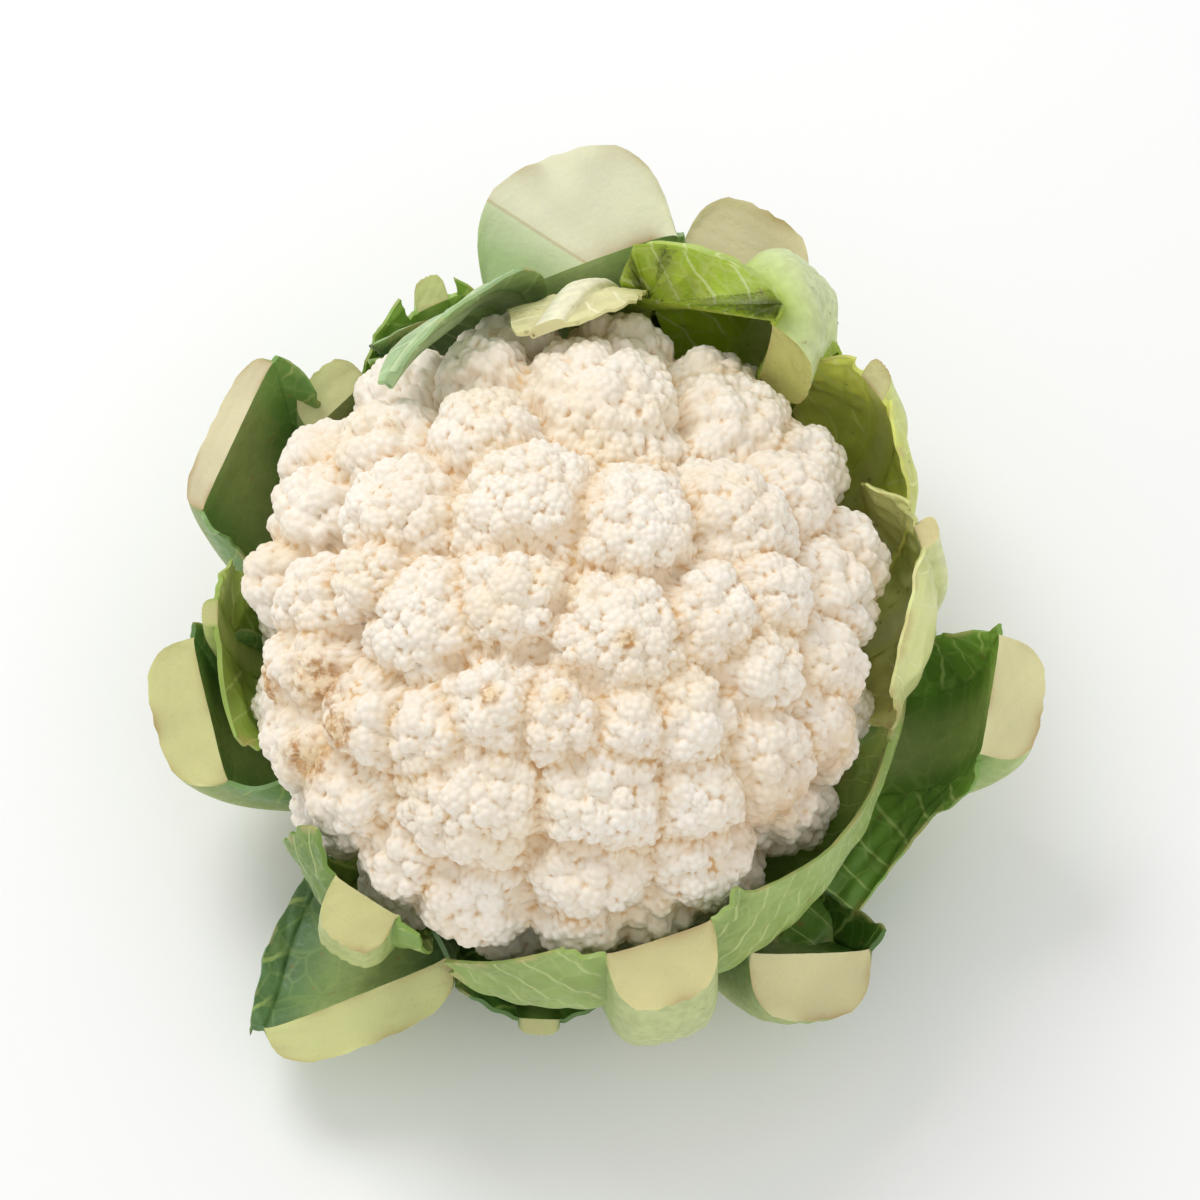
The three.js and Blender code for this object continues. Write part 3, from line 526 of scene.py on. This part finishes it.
def centripetal(points, count):
    """The smooth line through the points that the solids follow, at even lengths: places and directions."""
    points = np.array(points, float)
    points = np.vstack([2 * points[0] - points[1], points, 2 * points[-1] - points[-2]])
    line = []
    for i in range(1, len(points) - 2):
        p0, p1, p2, p3 = points[i - 1:i + 3]
        d0, d1, d2 = (np.sqrt(np.linalg.norm(b - a)) for a, b in ((p0, p1), (p1, p2), (p2, p3)))
        m1 = ((p1 - p0) / d0 - (p2 - p0) / (d0 + d1) + (p2 - p1) / d1) * d1
        m2 = ((p2 - p1) / d1 - (p3 - p1) / (d1 + d2) + (p3 - p2) / d2) * d1
        t = np.linspace(0, 1, 60, endpoint=False)[:, None]
        line.append((2 * t ** 3 - 3 * t ** 2 + 1) * p1 + (t ** 3 - 2 * t ** 2 + t) * m1
                    + (3 * t ** 2 - 2 * t ** 3) * p2 + (t ** 3 - t ** 2) * m2)
    line = np.vstack([*line, points[-2]])
    length = np.concatenate([[0], np.cumsum(np.linalg.norm(np.diff(line, axis=0), axis=1))])
    even = np.linspace(0, length[-1], count)
    place = np.stack([np.interp(even, length, line[:, k]) for k in range(3)], 1)
    return place, unit(np.gradient(place, axis=0)), length[-1]


def clear_of_florets(points, layer):
    """Points moved out to where a leaf of the given layer lies on the florets."""
    off = LAYER["first"] + LAYER["step"] * layer
    away = points - MIDDLE
    high = np.where(away[..., 2] < 0, CURD["drop"], CURD["rise"]) + off
    across, deep = CURD["across"] + off, CURD["deep"] + off
    share = np.sqrt((away[..., 0] / across) ** 2 + (away[..., 1] / deep) ** 2 + (away[..., 2] / high) ** 2)
    inside = (points[..., 2] >= HEART["level"] - off) & (share < 1)
    moved = away / np.maximum(share, 1e-6)[..., None] + MIDDLE
    return np.where(inside[..., None], moved, points)


def rib_frames(leaf, count, past_count):
    """Places along the rib with their directions, the last ones past the knife's cut."""
    place, tangent, length = centripetal([around(*p) for p in leaf["path"]], count)
    place = clear_of_florets(place, leaf["layer"])
    past = leaf["thick"][2] + PAST
    run = np.linspace(0, past, past_count + 1)[1:, None]
    place = np.vstack([place, place[-1] + tangent[-1] * run])
    tangent = np.vstack([tangent, np.repeat(tangent[-1:], past_count, 0)])
    aim = np.array([0, 0, leaf.get("aim", AIM)])
    curl = unit(aim - place)
    share = np.concatenate([np.linspace(0, 1, count), np.ones(past_count)])
    turn = np.radians(leaf.get("twist", 0) * share)[:, None]
    along_it = tangent * (curl * tangent).sum(1, keepdims=True)
    curl = along_it + (curl - along_it) * np.cos(turn) + np.cross(tangent, curl) * np.sin(turn)
    inward = unit(curl - tangent * (curl * tangent).sum(1, keepdims=True))
    curl[count:], inward[count:] = curl[count - 1], inward[count - 1]
    taper = np.concatenate([np.ones(count), np.linspace(1, 0, past_count + 1)[1:]])
    along = np.concatenate([np.linspace(0, length, count), length + run[:, 0]])
    return place, tangent, curl, inward, np.cross(tangent, inward), share, taper, along


def between(values, share):
    return np.interp(share, [0, 0.5, 1], values)


def wing(leaf, frames, half, side_name, sign, steps, seed):
    """A wing's middle lines, from the rib's edge outwards: points, and how far out each is."""
    place, tangent, curl, inward, side, share, taper, along = frames
    spec = leaf[side_name]
    keys = np.array(spec["reach"], float)
    reach = np.where(share < keys[0, 0], FRINGE, np.interp(share, keys[:, 0], keys[:, 1]))
    ragged = RAGGED["middle"] + RAGGED["slow"] * np.sin(along * 0.9 + seed) \
        + RAGGED["fast"] * np.sin(along * 2.3 + 2 * seed)
    reach = FRINGE + (reach * ragged - FRINGE) * taper
    coarse = max(1, round(keys[:, 1].max() / WING_STEP))
    out = (np.arange(steps) + 1) / steps
    middle = (np.arange(steps) + 0.5) / steps
    angle = np.radians(spec["angle"][0] + (spec["angle"][1] - spec["angle"][0]) * middle)
    angle = angle[None] * np.minimum(1, reach / STAND)[:, None]
    step = (reach / steps)[:, None]
    flat = np.cumsum(step * np.cos(angle), 1)[..., None]
    risen = np.cumsum(step * np.sin(angle), 1)[..., None]
    start = (place + side * sign * half[:, None])[:, None]
    points = start + side[:, None] * sign * flat + curl[:, None] * risen
    full = np.minimum(1, reach / WING_STEP)[:, None] * out[None]
    wave = WAVE["height"] * full * np.sin(WAVE["turn"] * share[:, None] + out[None] * coarse - 1)
    pucker = PUCKER["height"] * np.minimum(1, reach / PUCKER["reach"])[:, None] \
        * np.sin(along[:, None] * PUCKER["along"] + PUCKER["out"] * out[None] + seed) \
        * np.sin(3.1 * out[None] * reach[:, None] / 9 + 1.3 * seed)
    points = clear_of_florets(points + inward[:, None] * (wave + pucker)[..., None], leaf["layer"])
    return points, out[None] * reach[:, None]


def leaf_skins(leaf, seed):
    """The leaf's inner and outer skins before the knife: grids of points and of surface values."""
    count = LEAF_GRID["rows"]
    frames = rib_frames(leaf, count, LEAF_GRID["past"])
    place, tangent, curl, inward, side, share, taper, along = frames
    half, deep = between(leaf["width"], share) / 2, between(leaf["thick"], share)
    widest = [max(mm for _, mm in leaf[name]["reach"]) for name in ("ccw", "cw")]
    steps = [max(5, round(reach / LEAF_GRID["step"])) for reach in widest]
    ccw, ccw_out = wing(leaf, frames, half, "ccw", -1, steps[0], seed)
    cw, cw_out = wing(leaf, frames, half, "cw", 1, steps[1], seed + 3)
    s = np.sin(math.pi * (np.linspace(0, 1, LEAF_GRID["rib"]) - 0.5))
    rib = place[:, None] + side[:, None] * (half[:, None] * s[None])[..., None]
    middle = np.concatenate([ccw[:, ::-1], rib, cw], 1)
    on_rib = np.concatenate([np.full(steps[0], np.nan), s, np.full(steps[1], np.nan)])
    round_ = np.where(np.isnan(on_rib), 0, (1 - np.abs(np.nan_to_num(on_rib)) ** BELLY) ** (1 / BELLY))
    out = np.concatenate([ccw_out[:, ::-1], np.zeros((len(place), len(s))), cw_out], 1)
    up = unit(np.cross(np.gradient(middle, axis=1), tangent[:, None]))
    run = along[:, None] - VEIN["lean"] * out - VEIN["bend"] * out ** 2
    run = run + VEIN["offset"] * (np.arange(middle.shape[1]) > steps[0])
    ends = np.concatenate([np.linspace(1, 0, steps[0]), np.zeros(len(s)), np.linspace(0, 1, steps[1])])
    lift = BLADE / 2 * (1 - 0.35 * smooth(0.6, 1, ends))[None]
    ridge = np.nan_to_num(np.cos(on_rib * RIDGE["turns"])) * RIDGE["height"] * round_
    inner = lift - HOLLOW * half[:, None] * round_ + RIDGE["within"] * ridge[None]
    outer = lift + deep[:, None] * round_ + ridge[None] * np.minimum(1, deep / 8)[:, None]
    values = {
        "rib": np.repeat(round_[None], len(place), 0),
        "out": out,
        "run": run,
        "edge": np.repeat(smooth(0.8, 1, ends)[None], len(place), 0) * np.minimum(1, out / 6),
        "along": np.repeat(share[:, None], middle.shape[1], 1),
    }
    skins = middle + up * inner[..., None], middle - up * outer[..., None]
    return *skins, values, on_rib, half[count - 1], place[count - 1], side[count - 1], count


def knife_rows(skin, leaf, origin, across, spared):
    """For each line of a skin, the row number at which the knife cuts it."""
    height = (skin - origin) @ heading(*leaf["cut"])
    wide = np.abs((skin - origin) @ across) - spared
    gone = height > 0
    if leaf.get("flaps"):
        gone &= wide < 0
    gone[:len(skin) // 3] = False
    rows = np.full(skin.shape[1], len(skin) - 1.0)
    for column in np.flatnonzero(gone.any(0)):
        row = np.argmax(gone[:, column])
        share = 0.0
        for before, after in ((height[row - 1, column], height[row, column]),
                              (-wide[row - 1, column], -wide[row, column])):
            if before < 0 < after:
                share = max(share, -before / (after - before))
        rows[column] = row - 1 + share
    return rows


def resample(grid, rows):
    """Each column of a grid stretched so that its last row lies at the column's own row number."""
    count = len(grid)
    wanted = np.linspace(0, 1, count)[:, None] * rows[None]
    low = np.clip(np.floor(wanted).astype(int), 0, count - 2)
    share = wanted - low
    column = np.arange(grid.shape[1])[None]
    if grid.ndim == 3:
        share = share[..., None]
    return grid[low, column] * (1 - share) + grid[low + 1, column] * share


def grid_faces(rows, columns, start, flip):
    i, j = np.meshgrid(np.arange(rows - 1), np.arange(columns - 1), indexing="ij")
    a = (start + i * columns + j).ravel()
    quad = np.stack([a, a + 1, a + columns + 1, a + columns], 1)
    return quad[:, ::-1] if flip else quad


def past_flank(points, leaf):
    """How far each point is past the line where a stump's flank begins, in the face view."""
    if leaf["name"] not in FLANK:
        return np.full(points.shape[:-1], float(NO_FLANK))
    start, end = np.array(FLANK[leaf["name"]]["line"])
    line = unit(end - start)
    tilt = math.radians(FACE_TILT)
    up = points[..., 1] * math.sin(tilt) + (points[..., 2] - CURD["height"]) * math.cos(tilt)
    return (points[..., 0] - start[0]) * line[1] - (up - start[1]) * line[0]


def slanted(points, leaf, out, origin, normal):
    """Points of a cut stump lowered past the line where its flank begins."""
    if leaf["name"] not in FLANK:
        return points
    flank = FLANK[leaf["name"]]
    depth = np.maximum(0, -((points - origin) @ normal))
    weight = np.exp(-depth / flank["fade"] - out / 4) * flank["steep"]
    return points - normal * (np.maximum(0, past_flank(points, leaf)) * weight)[..., None]


def cut_face(flat, leaf, out, depth, origin, normal, seed):
    """The knife's face between the skins' last rows, dished where the rib is thick, and shares over it."""
    share = np.linspace(0, 1, LEAF_GRID["cap"])[:, None, None]
    cap = flat[0] * (1 - share) + flat[1] * share
    cap = slanted(cap, leaf, np.repeat(out[None], len(cap), 0), origin, normal)
    dish = np.sin(math.pi * share[..., 0]) * smooth(CAP["thin"], CAP["thick"], depth)[None] * CAP["dish"]
    rough = noise(cap.reshape(-1, 3), CAP["blob"], seed).reshape(dish.shape) * (dish > CAP["still"])
    return cap - normal * (dish + CAP["rough"] * rough)[..., None], share[..., 0]


def leaf_piece(leaf, seed, material):
    """A leaf cut by the knife: inner and outer skins, edges and the cut face."""
    inner, outer, values, on_rib, half, origin, side, count = leaf_skins(leaf, seed)
    normal = heading(*leaf["cut"])
    across = unit(side - normal * (side @ normal))
    wing_rows = knife_rows((inner + outer) / 2, leaf, origin, across, half + SPARE)
    skins, flat, spread = [], [], {key: [] for key in values}
    for skin in (inner, outer):
        rib_rows = knife_rows(skin, leaf, origin, across, half + SPARE)
        rows = np.where(np.isnan(on_rib), wing_rows, rib_rows)
        flat.append(resample(skin, rows)[-1])
        skins.append(slanted(resample(skin, rows), leaf, resample(values["out"], rows), origin, normal))
        for key, grid in values.items():
            spread[key].append(resample(grid, rows).ravel())
    depth = np.linalg.norm(skins[1][-1] - skins[0][-1], axis=1)
    cap, share = cut_face(flat, leaf, values["out"][count - 1], depth, origin, normal, seed)
    edges = [np.stack([skins[0][:, k], skins[1][:, k]], 1) for k in (0, -1)]
    grids = [*skins, cap, *edges, np.stack([skins[0][0], skins[1][0]], 0)]
    flips = [False, True, False, True, False, True]
    points = np.concatenate([grid.reshape(-1, 3) for grid in grids])
    starts = np.cumsum([0] + [grid.shape[0] * grid.shape[1] for grid in grids])
    faces = np.concatenate([grid_faces(*grid.shape[:2], start, flip)
                            for grid, start, flip in zip(grids, starts, flips)])
    rest = np.zeros(len(points) - starts[2])
    whole = {key: np.concatenate([*both, rest]) for key, both in spread.items()}
    whole["edge"][starts[3]:] = CAP["worn"]
    on_cap = {"cut": np.ones(cap.shape[:2]), "flank": past_flank(cap, leaf),
              "rim": np.maximum(np.abs(share * 2 - 1) ** 5,
                                np.abs(np.nan_to_num(on_rib, nan=1.0))[None] ** 14),
              "thick": np.tile(smooth(2, 4.5, depth), (len(cap), 1))}
    for key, grid in on_cap.items():
        whole[key] = np.full(len(points), float(NO_FLANK) if key == "flank" else 0.0)
        whole[key][starts[2]:starts[3]] = grid.ravel()
    whole["inside"] = (np.arange(len(points)) < starts[1]).astype(float)
    return mesh_object(leaf["name"] + "_fine", points, faces, "leaf", [leaf["name"]], material, **whole)


def build_leaves():
    for i, leaf in enumerate(LEAVES):
        leaf_piece(leaf, i + 1, leaf_look(leaf["name"], *leaf["look"]))


# The stalk.

STALK = {"radius": 23, "bevel": 2, "neck": 20, "flare": 30, "collar": 46, "lip": 3, "ribs": 10,
         "depth": 0.12, "under": 0.65, "rows": 90, "around": 144}


def stalk_piece(material):
    """The cut stalk: fibrous cut end below, ribbed flare above."""
    top = HEART["level"] - STALK["under"]
    profile = np.array([[0.01, 0], [STALK["radius"] - STALK["bevel"], 0], [STALK["radius"], STALK["bevel"]],
                        [STALK["radius"], STALK["neck"]], [STALK["flare"], (STALK["neck"] + top) / 2],
                        [STALK["collar"], top - STALK["lip"]], [STALK["collar"], top], [0.01, top]])
    length = np.concatenate([[0], np.cumsum(np.linalg.norm(np.diff(profile, axis=0), axis=1))])
    even = np.union1d(np.linspace(0, length[-1], STALK["rows"]), length)
    radius, height = np.interp(even, length, profile[:, 0]), np.interp(even, length, profile[:, 1])
    angle = np.linspace(0, 2 * math.pi, STALK["around"], endpoint=False)
    share = smooth(STALK["neck"] / 2, top, height)
    stretch = 1 + STALK["depth"] * share[:, None] * np.cos(STALK["ribs"] * angle)[None]
    points = np.stack([radius[:, None] * stretch * np.cos(angle), radius[:, None] * stretch * np.sin(angle),
                       np.repeat(height[:, None], len(angle), 1)], -1)
    side = (even > length[2]) & (even < length[5])
    rough = noise(points.reshape(-1, 3), 9, 21).reshape(points.shape[:2]) * 0.35 * side[:, None]
    points[..., :2] *= (1 + rough / np.maximum(radius, 1)[:, None])[..., None]
    points = np.concatenate([points, points[:, :1]], 1)
    faces = grid_faces(points.shape[0], points.shape[1], 0, False)
    flat = points.reshape(-1, 3)
    cut = (flat[:, 2] < 0.05).astype(float)
    return mesh_object("stalk_fine", flat, faces, "stalk", ["stalk"], material,
                       cut=cut, out=np.hypot(flat[:, 0], flat[:, 1]) / STALK["radius"])


# Materials.

def colour(red, green, blue):
    """A screen colour, 0 to 255, as the linear one that shaders use."""
    return [v / 3294.6 if v < 11 else ((v / 255 + 0.055) / 1.055) ** 2.4 for v in (red, green, blue)] + [1]


class Shade:
    """A material's nodes, built from short calls."""

    def __init__(self, name):
        self.material = bpy.data.materials.new(name)
        self.material.use_nodes = True
        self.tree = self.material.node_tree
        self.surface = self.tree.nodes["Principled BSDF"]
        self.place = self.tree.nodes.new("ShaderNodeTexCoord").outputs["Object"]

    def feed(self, socket, value):
        if isinstance(value, bpy.types.NodeSocket):
            self.tree.links.new(value, socket)
        else:
            socket.default_value = value

    def set(self, name, value):
        """The surface's own input of that name set to a value or fed by a node."""
        self.feed(self.surface.inputs[name], value)

    def times(self, first, second):
        return self.math("MULTIPLY", first, second)

    def attribute(self, name):
        node = self.tree.nodes.new("ShaderNodeAttribute")
        node.attribute_name = name
        return node.outputs["Fac"]

    def noise(self, size, detail=3.0, rough=0.55):
        """Noise whose blobs are about size millimetres across."""
        node = self.tree.nodes.new("ShaderNodeTexNoise")
        self.feed(node.inputs["Vector"], self.place)
        self.feed(node.inputs["Scale"], 1 / (size * MM))
        self.feed(node.inputs["Detail"], detail)
        self.feed(node.inputs["Roughness"], rough)
        return node.outputs["Fac"]

    def cells(self, size, feature="F1"):
        node = self.tree.nodes.new("ShaderNodeTexVoronoi")
        node.feature = feature
        self.feed(node.inputs["Vector"], self.place)
        self.feed(node.inputs["Scale"], 1 / (size * MM))
        return node.outputs["Distance"]

    def veins(self):
        """1 on a blade's side veins, which leave the rib forwards, and less on the net between them."""
        wander = self.times(self.noise(20, 1), 8.0)
        off = self.math("PINGPONG", self.math("ADD", self.attribute("run"), wander), VEIN["spacing"] / 2)
        wide = self.span(self.attribute("out"), 0, 60, VEIN["wide"], VEIN["thin"])
        main = self.span(self.math("DIVIDE", off, wide), 0.45, 1, 1, 0)
        net = self.span(self.cells(VEIN["net"], "DISTANCE_TO_EDGE"), 0.015, 0.07, VEIN["faint"], 0)
        start = self.span(self.attribute("out"), 0.2, 2.5)
        net = self.times(net, self.math("MAXIMUM", start, self.attribute("inside")))
        return self.math("MAXIMUM", self.times(main, start), net)

    def math(self, operation, *values):
        node = self.tree.nodes.new("ShaderNodeMath")
        node.operation = operation
        for socket, value in zip(node.inputs, values):
            self.feed(socket, value)
        return node.outputs[0]

    def span(self, value, low, high, new_low=0.0, new_high=1.0):
        node = self.tree.nodes.new("ShaderNodeMapRange")
        for socket, number in zip(node.inputs, (value, low, high, new_low, new_high)):
            self.feed(socket, number)
        return node.outputs[0]

    def mix(self, share, first, second):
        node = self.tree.nodes.new("ShaderNodeMix")
        node.data_type = "RGBA"
        self.feed(node.inputs[0], share)
        self.feed(node.inputs[6], first)
        self.feed(node.inputs[7], second)
        return node.outputs[2]

    def bump(self, height, depth, strength=1.0):
        """Relief depth millimetres high."""
        node = self.tree.nodes.new("ShaderNodeBump")
        self.feed(node.inputs["Strength"], strength)
        self.feed(node.inputs["Distance"], depth * MM)
        self.feed(node.inputs["Height"], height)
        self.set("Normal", node.outputs[0])

    def glow(self, share, radius, scale):
        """Light that soaks in and comes out again near by; scale in millimetres."""
        self.set("Subsurface Weight", share)
        self.set("Subsurface Radius", radius)
        self.set("Subsurface Scale", scale * MM)


def curd_look():
    shade = Shade("curd_look")
    mottle, grain = shade.noise(14, 1), shade.noise(1.1, 0)
    body = shade.mix(shade.span(mottle, 0.35, 0.65), colour(246, 239, 227), colour(243, 232, 215))
    body = shade.mix(shade.span(shade.noise(24, 1), 0.52, 0.7, 0, 0.4), body, colour(241, 224, 190))
    # Painted shade: the hollows between the beads are darker.
    shaded_bead_hollows = shade.math("SUBTRACT", 1.0, shade.attribute("bead"))
    body = shade.mix(shade.times(shaded_bead_hollows, 0.35), body, colour(238, 222, 194))
    # Painted shade: darker tan along the crevices between florets.
    body = shade.mix(shade.times(shade.attribute("gap"), 0.55), body, colour(226, 198, 156))
    # Painted shade: the creases between lumps and florets are darker.
    crease = shade.math("MAXIMUM", shade.attribute("crease"), shade.attribute("gap"))
    body = shade.mix(shade.times(crease, 0.3), body, colour(236, 214, 178))
    # Painted shade, warm and golden, darkest where the creases meet the hollows between beads.
    deep = shade.times(crease, shade.span(shaded_bead_hollows, 0.2, 0.9))
    crease_shade_tint = shade.mix(shade.span(mottle, 0.4, 0.6), colour(206, 156, 92), colour(224, 184, 124))
    body = shade.mix(shade.times(deep, 0.85), body, crease_shade_tint)
    shaved = shade.times(shade.attribute("shaved"), shade.span(shade.noise(4.5, 2), 0.25, 0.45))
    scraped = shade.mix(shade.span(mottle, 0.4, 0.6), colour(222, 190, 140), colour(186, 146, 96))
    body = shade.mix(shaved, body, scraped)
    stained = shade.span(shade.attribute("bruise"), 0.1, 0.9, 0, 0.7)
    body = shade.mix(stained, body, colour(236, 208, 156))
    scabs = shade.span(shade.noise(3.0, 3, 0.65), 0.44, 0.62, 0, 0.85)
    bruise = shade.times(shade.span(shade.attribute("bruise"), 0.2, 0.6), scabs)
    body = shade.mix(bruise, body, shade.mix(grain, colour(200, 142, 62), colour(146, 92, 40)))
    shade.set("Base Color", body)
    shade.set("Roughness", shade.span(grain, 0.3, 0.7, 0.5, 0.68))
    shade.set("Specular IOR Level", 0.35)
    shade.glow(0.15, (1.0, 0.8, 0.6), 1.2)
    shade.bump(grain, 0.16, 0.5)
    return shade.material


def leaf_look(name, blade, rib, cut):
    """A leaf's material from its three colours: waxy mottled blade, pale rib and veins, cut face."""
    shade = Shade(name + "_look")
    patch, grain, fibre = shade.noise(16, 1), shade.noise(1.6, 1), shade.noise(3.2, 1)
    light, dark = colour(*blade), colour(*[v * 0.86 for v in blade])
    waxy = colour(*[v * 0.7 + 62 for v in blade])
    body = shade.mix(shade.span(patch, 0.35, 0.65), dark, light)
    young = shade.span(shade.noise(30, 0), 0.5, 0.75, 0, 0.35)
    body = shade.mix(young, body, colour(*[v * 0.75 + w * 0.25 for v, w in zip(blade, (220, 236, 90))]))
    outside = shade.math("SUBTRACT", 1.0, shade.attribute("inside"))
    body = shade.mix(shade.times(outside, shade.span(patch, 0.3, 0.7, 0.1, 0.4)), body, waxy)
    pale_vein = colour(*[b * 0.2 + r * 0.8 for b, r in zip(blade, rib)])
    body = shade.mix(shade.times(shade.veins(), 0.8), body, pale_vein)
    pale = shade.mix(shade.span(fibre, 0.35, 0.65), colour(*rib), colour(*[v * 0.93 for v in rib]))
    pale = shade.mix(shade.span(shade.attribute("along"), 0.15, 0.7, 0.7, 0.0), pale, colour(238, 238, 206))
    bulge = shade.attribute("rib")
    within = shade.times(shade.math("POWER", bulge, 9.0), 0.55)
    ribbed = shade.math("ADD", shade.times(shade.attribute("inside"), within),
                        shade.times(outside, shade.math("SQRT", bulge)))
    body = shade.mix(ribbed, body, pale)
    patches = shade.span(shade.noise(7, 1), 0.48, 0.64, 0, 0.7)
    worn = shade.times(shade.attribute("edge"), patches)
    body = shade.mix(worn, body, colour(196, 178, 120))
    specks = shade.span(shade.noise(2.4, 0), 0.78, 0.83, 0, 0.5)
    body = shade.mix(specks, body, colour(150, 122, 70))
    face = shade.mix(shade.span(patch, 0.3, 0.7), colour(*cut), colour(*[v * 0.94 for v in cut]))
    scab = shade.times(shade.attribute("rim"), shade.span(patch, 0.42, 0.66, 0.0, 0.8))
    face = shade.mix(scab, face, colour(170, 138, 88))
    flank = shade.attribute("flank")
    skin = shade.mix(shade.span(flank, 0, 11), colour(220, 228, 190), colour(186, 208, 154))
    face = shade.mix(shade.span(flank, -0.5, 0.1, 0, 0.6), face, colour(186, 162, 112))
    face = shade.mix(shade.span(flank, 0.0, 0.8), face, skin)
    sliced = shade.times(shade.attribute("cut"), shade.attribute("thick"))
    body = shade.mix(sliced, body, face)
    shade.set("Base Color", body)
    wet = shade.times(sliced, 0.12)
    rough = shade.math("SUBTRACT", shade.span(grain, 0.3, 0.7, 0.36, 0.58), wet)
    shade.set("Roughness", rough)
    shade.set("Specular IOR Level", 0.45)
    shade.glow(0.15, (0.8, 1.0, 0.35), 2.6)
    folds = shade.times(shade.noise(9, 0), 6.0)
    shade.bump(shade.math("ADD", grain, folds), 0.22, 0.6)
    return shade.material


def stalk_look():
    shade = Shade("stalk_look")
    fibre, grain = shade.noise(3.0, 3), shade.noise(1.2, 2)
    patch = shade.span(shade.noise(18, 3), 0.35, 0.65)
    side = shade.mix(patch, colour(222, 224, 178), colour(204, 210, 152))
    rings = shade.math("SINE", shade.times(shade.attribute("out"), 40.0))
    face = shade.mix(shade.span(fibre, 0.3, 0.7), colour(232, 222, 184), colour(214, 200, 152))
    face = shade.mix(shade.span(rings, 0.5, 1, 0, 0.3), face, colour(190, 172, 122))
    face = shade.mix(shade.span(shade.attribute("out"), 0.84, 0.97), face, colour(188, 156, 104))
    body = shade.mix(shade.attribute("cut"), side, face)
    shade.set("Base Color", body)
    shade.set("Roughness", shade.span(grain, 0.3, 0.7, 0.42, 0.62))
    shade.glow(0.25, (1.0, 0.8, 0.4), 2.2)
    shade.bump(shade.math("ADD", grain, fibre), 0.2, 0.6)
    return shade.material


# The stage.

# Each light's place, size and power, and the strength of the white surroundings.
LIGHTS = {"key": [(-420, 520, 950), 500, 5.0], "fill": [(300, -700, 700), 900, 1.2]}
SURROUNDINGS = 0.72
VIEW = {"elevation": 62, "distance": 900, "width": 288, "target": (8.9, 8.5, 72.5)}


def add_camera():
    tilt = math.radians(VIEW["elevation"])
    data = bpy.data.cameras.new("camera")
    data.sensor_width = 36
    data.lens = data.sensor_width * VIEW["distance"] / VIEW["width"]
    data.clip_end = 20
    camera = bpy.data.objects.new("camera", data)
    away = np.array([0, -math.cos(tilt), math.sin(tilt)]) * VIEW["distance"]
    camera.location = (np.array(VIEW["target"]) + away) * MM
    camera.rotation_euler = (math.pi / 2 - tilt, 0, 0)
    bpy.context.scene.collection.objects.link(camera)
    bpy.context.scene.camera = camera


def add_light(name, place, size, power):
    """A soft square light aimed at the curd; place and size in millimetres."""
    data = bpy.data.lights.new(name, "AREA")
    data.energy = power
    data.size = size * MM
    lamp = bpy.data.objects.new(name, data)
    lamp.location = np.array(place) * MM
    aim = (MIDDLE - np.array(place)) * MM
    lamp.rotation_euler = Vector(aim).to_track_quat("-Z", "Y").to_euler()
    bpy.context.scene.collection.objects.link(lamp)


def add_stage():
    mesh = bpy.data.meshes.new("floor")
    mesh.from_pydata([(-4, -4, 0), (4, -4, 0), (4, 4, 0), (-4, 4, 0)], [], [(0, 1, 2, 3)])
    floor = bpy.data.objects.new("floor", mesh)
    bpy.context.scene.collection.objects.link(floor)
    shade = Shade("floor_look")
    cloud = shade.noise(300, 2)
    pale = shade.mix(cloud, (0.93, 0.93, 0.93, 1), (0.95, 0.95, 0.95, 1))
    shade.set("Base Color", pale)
    shade.set("Roughness", 0.9)
    shade.set("Specular IOR Level", 0.1)
    mesh.materials.append(shade.material)
    world = bpy.data.worlds.new("studio")
    world.use_nodes = True
    world.node_tree.nodes["Background"].inputs["Color"].default_value = (1, 1, 1, 1)
    world.node_tree.nodes["Background"].inputs["Strength"].default_value = SURROUNDINGS
    bpy.context.scene.world = world
    for name, numbers in LIGHTS.items():
        add_light(name, *numbers)
    bpy.context.scene.view_settings.view_transform = "Standard"


add_camera()
add_stage()
build_curd(curd_look())
build_leaves()
stalk_piece(stalk_look())
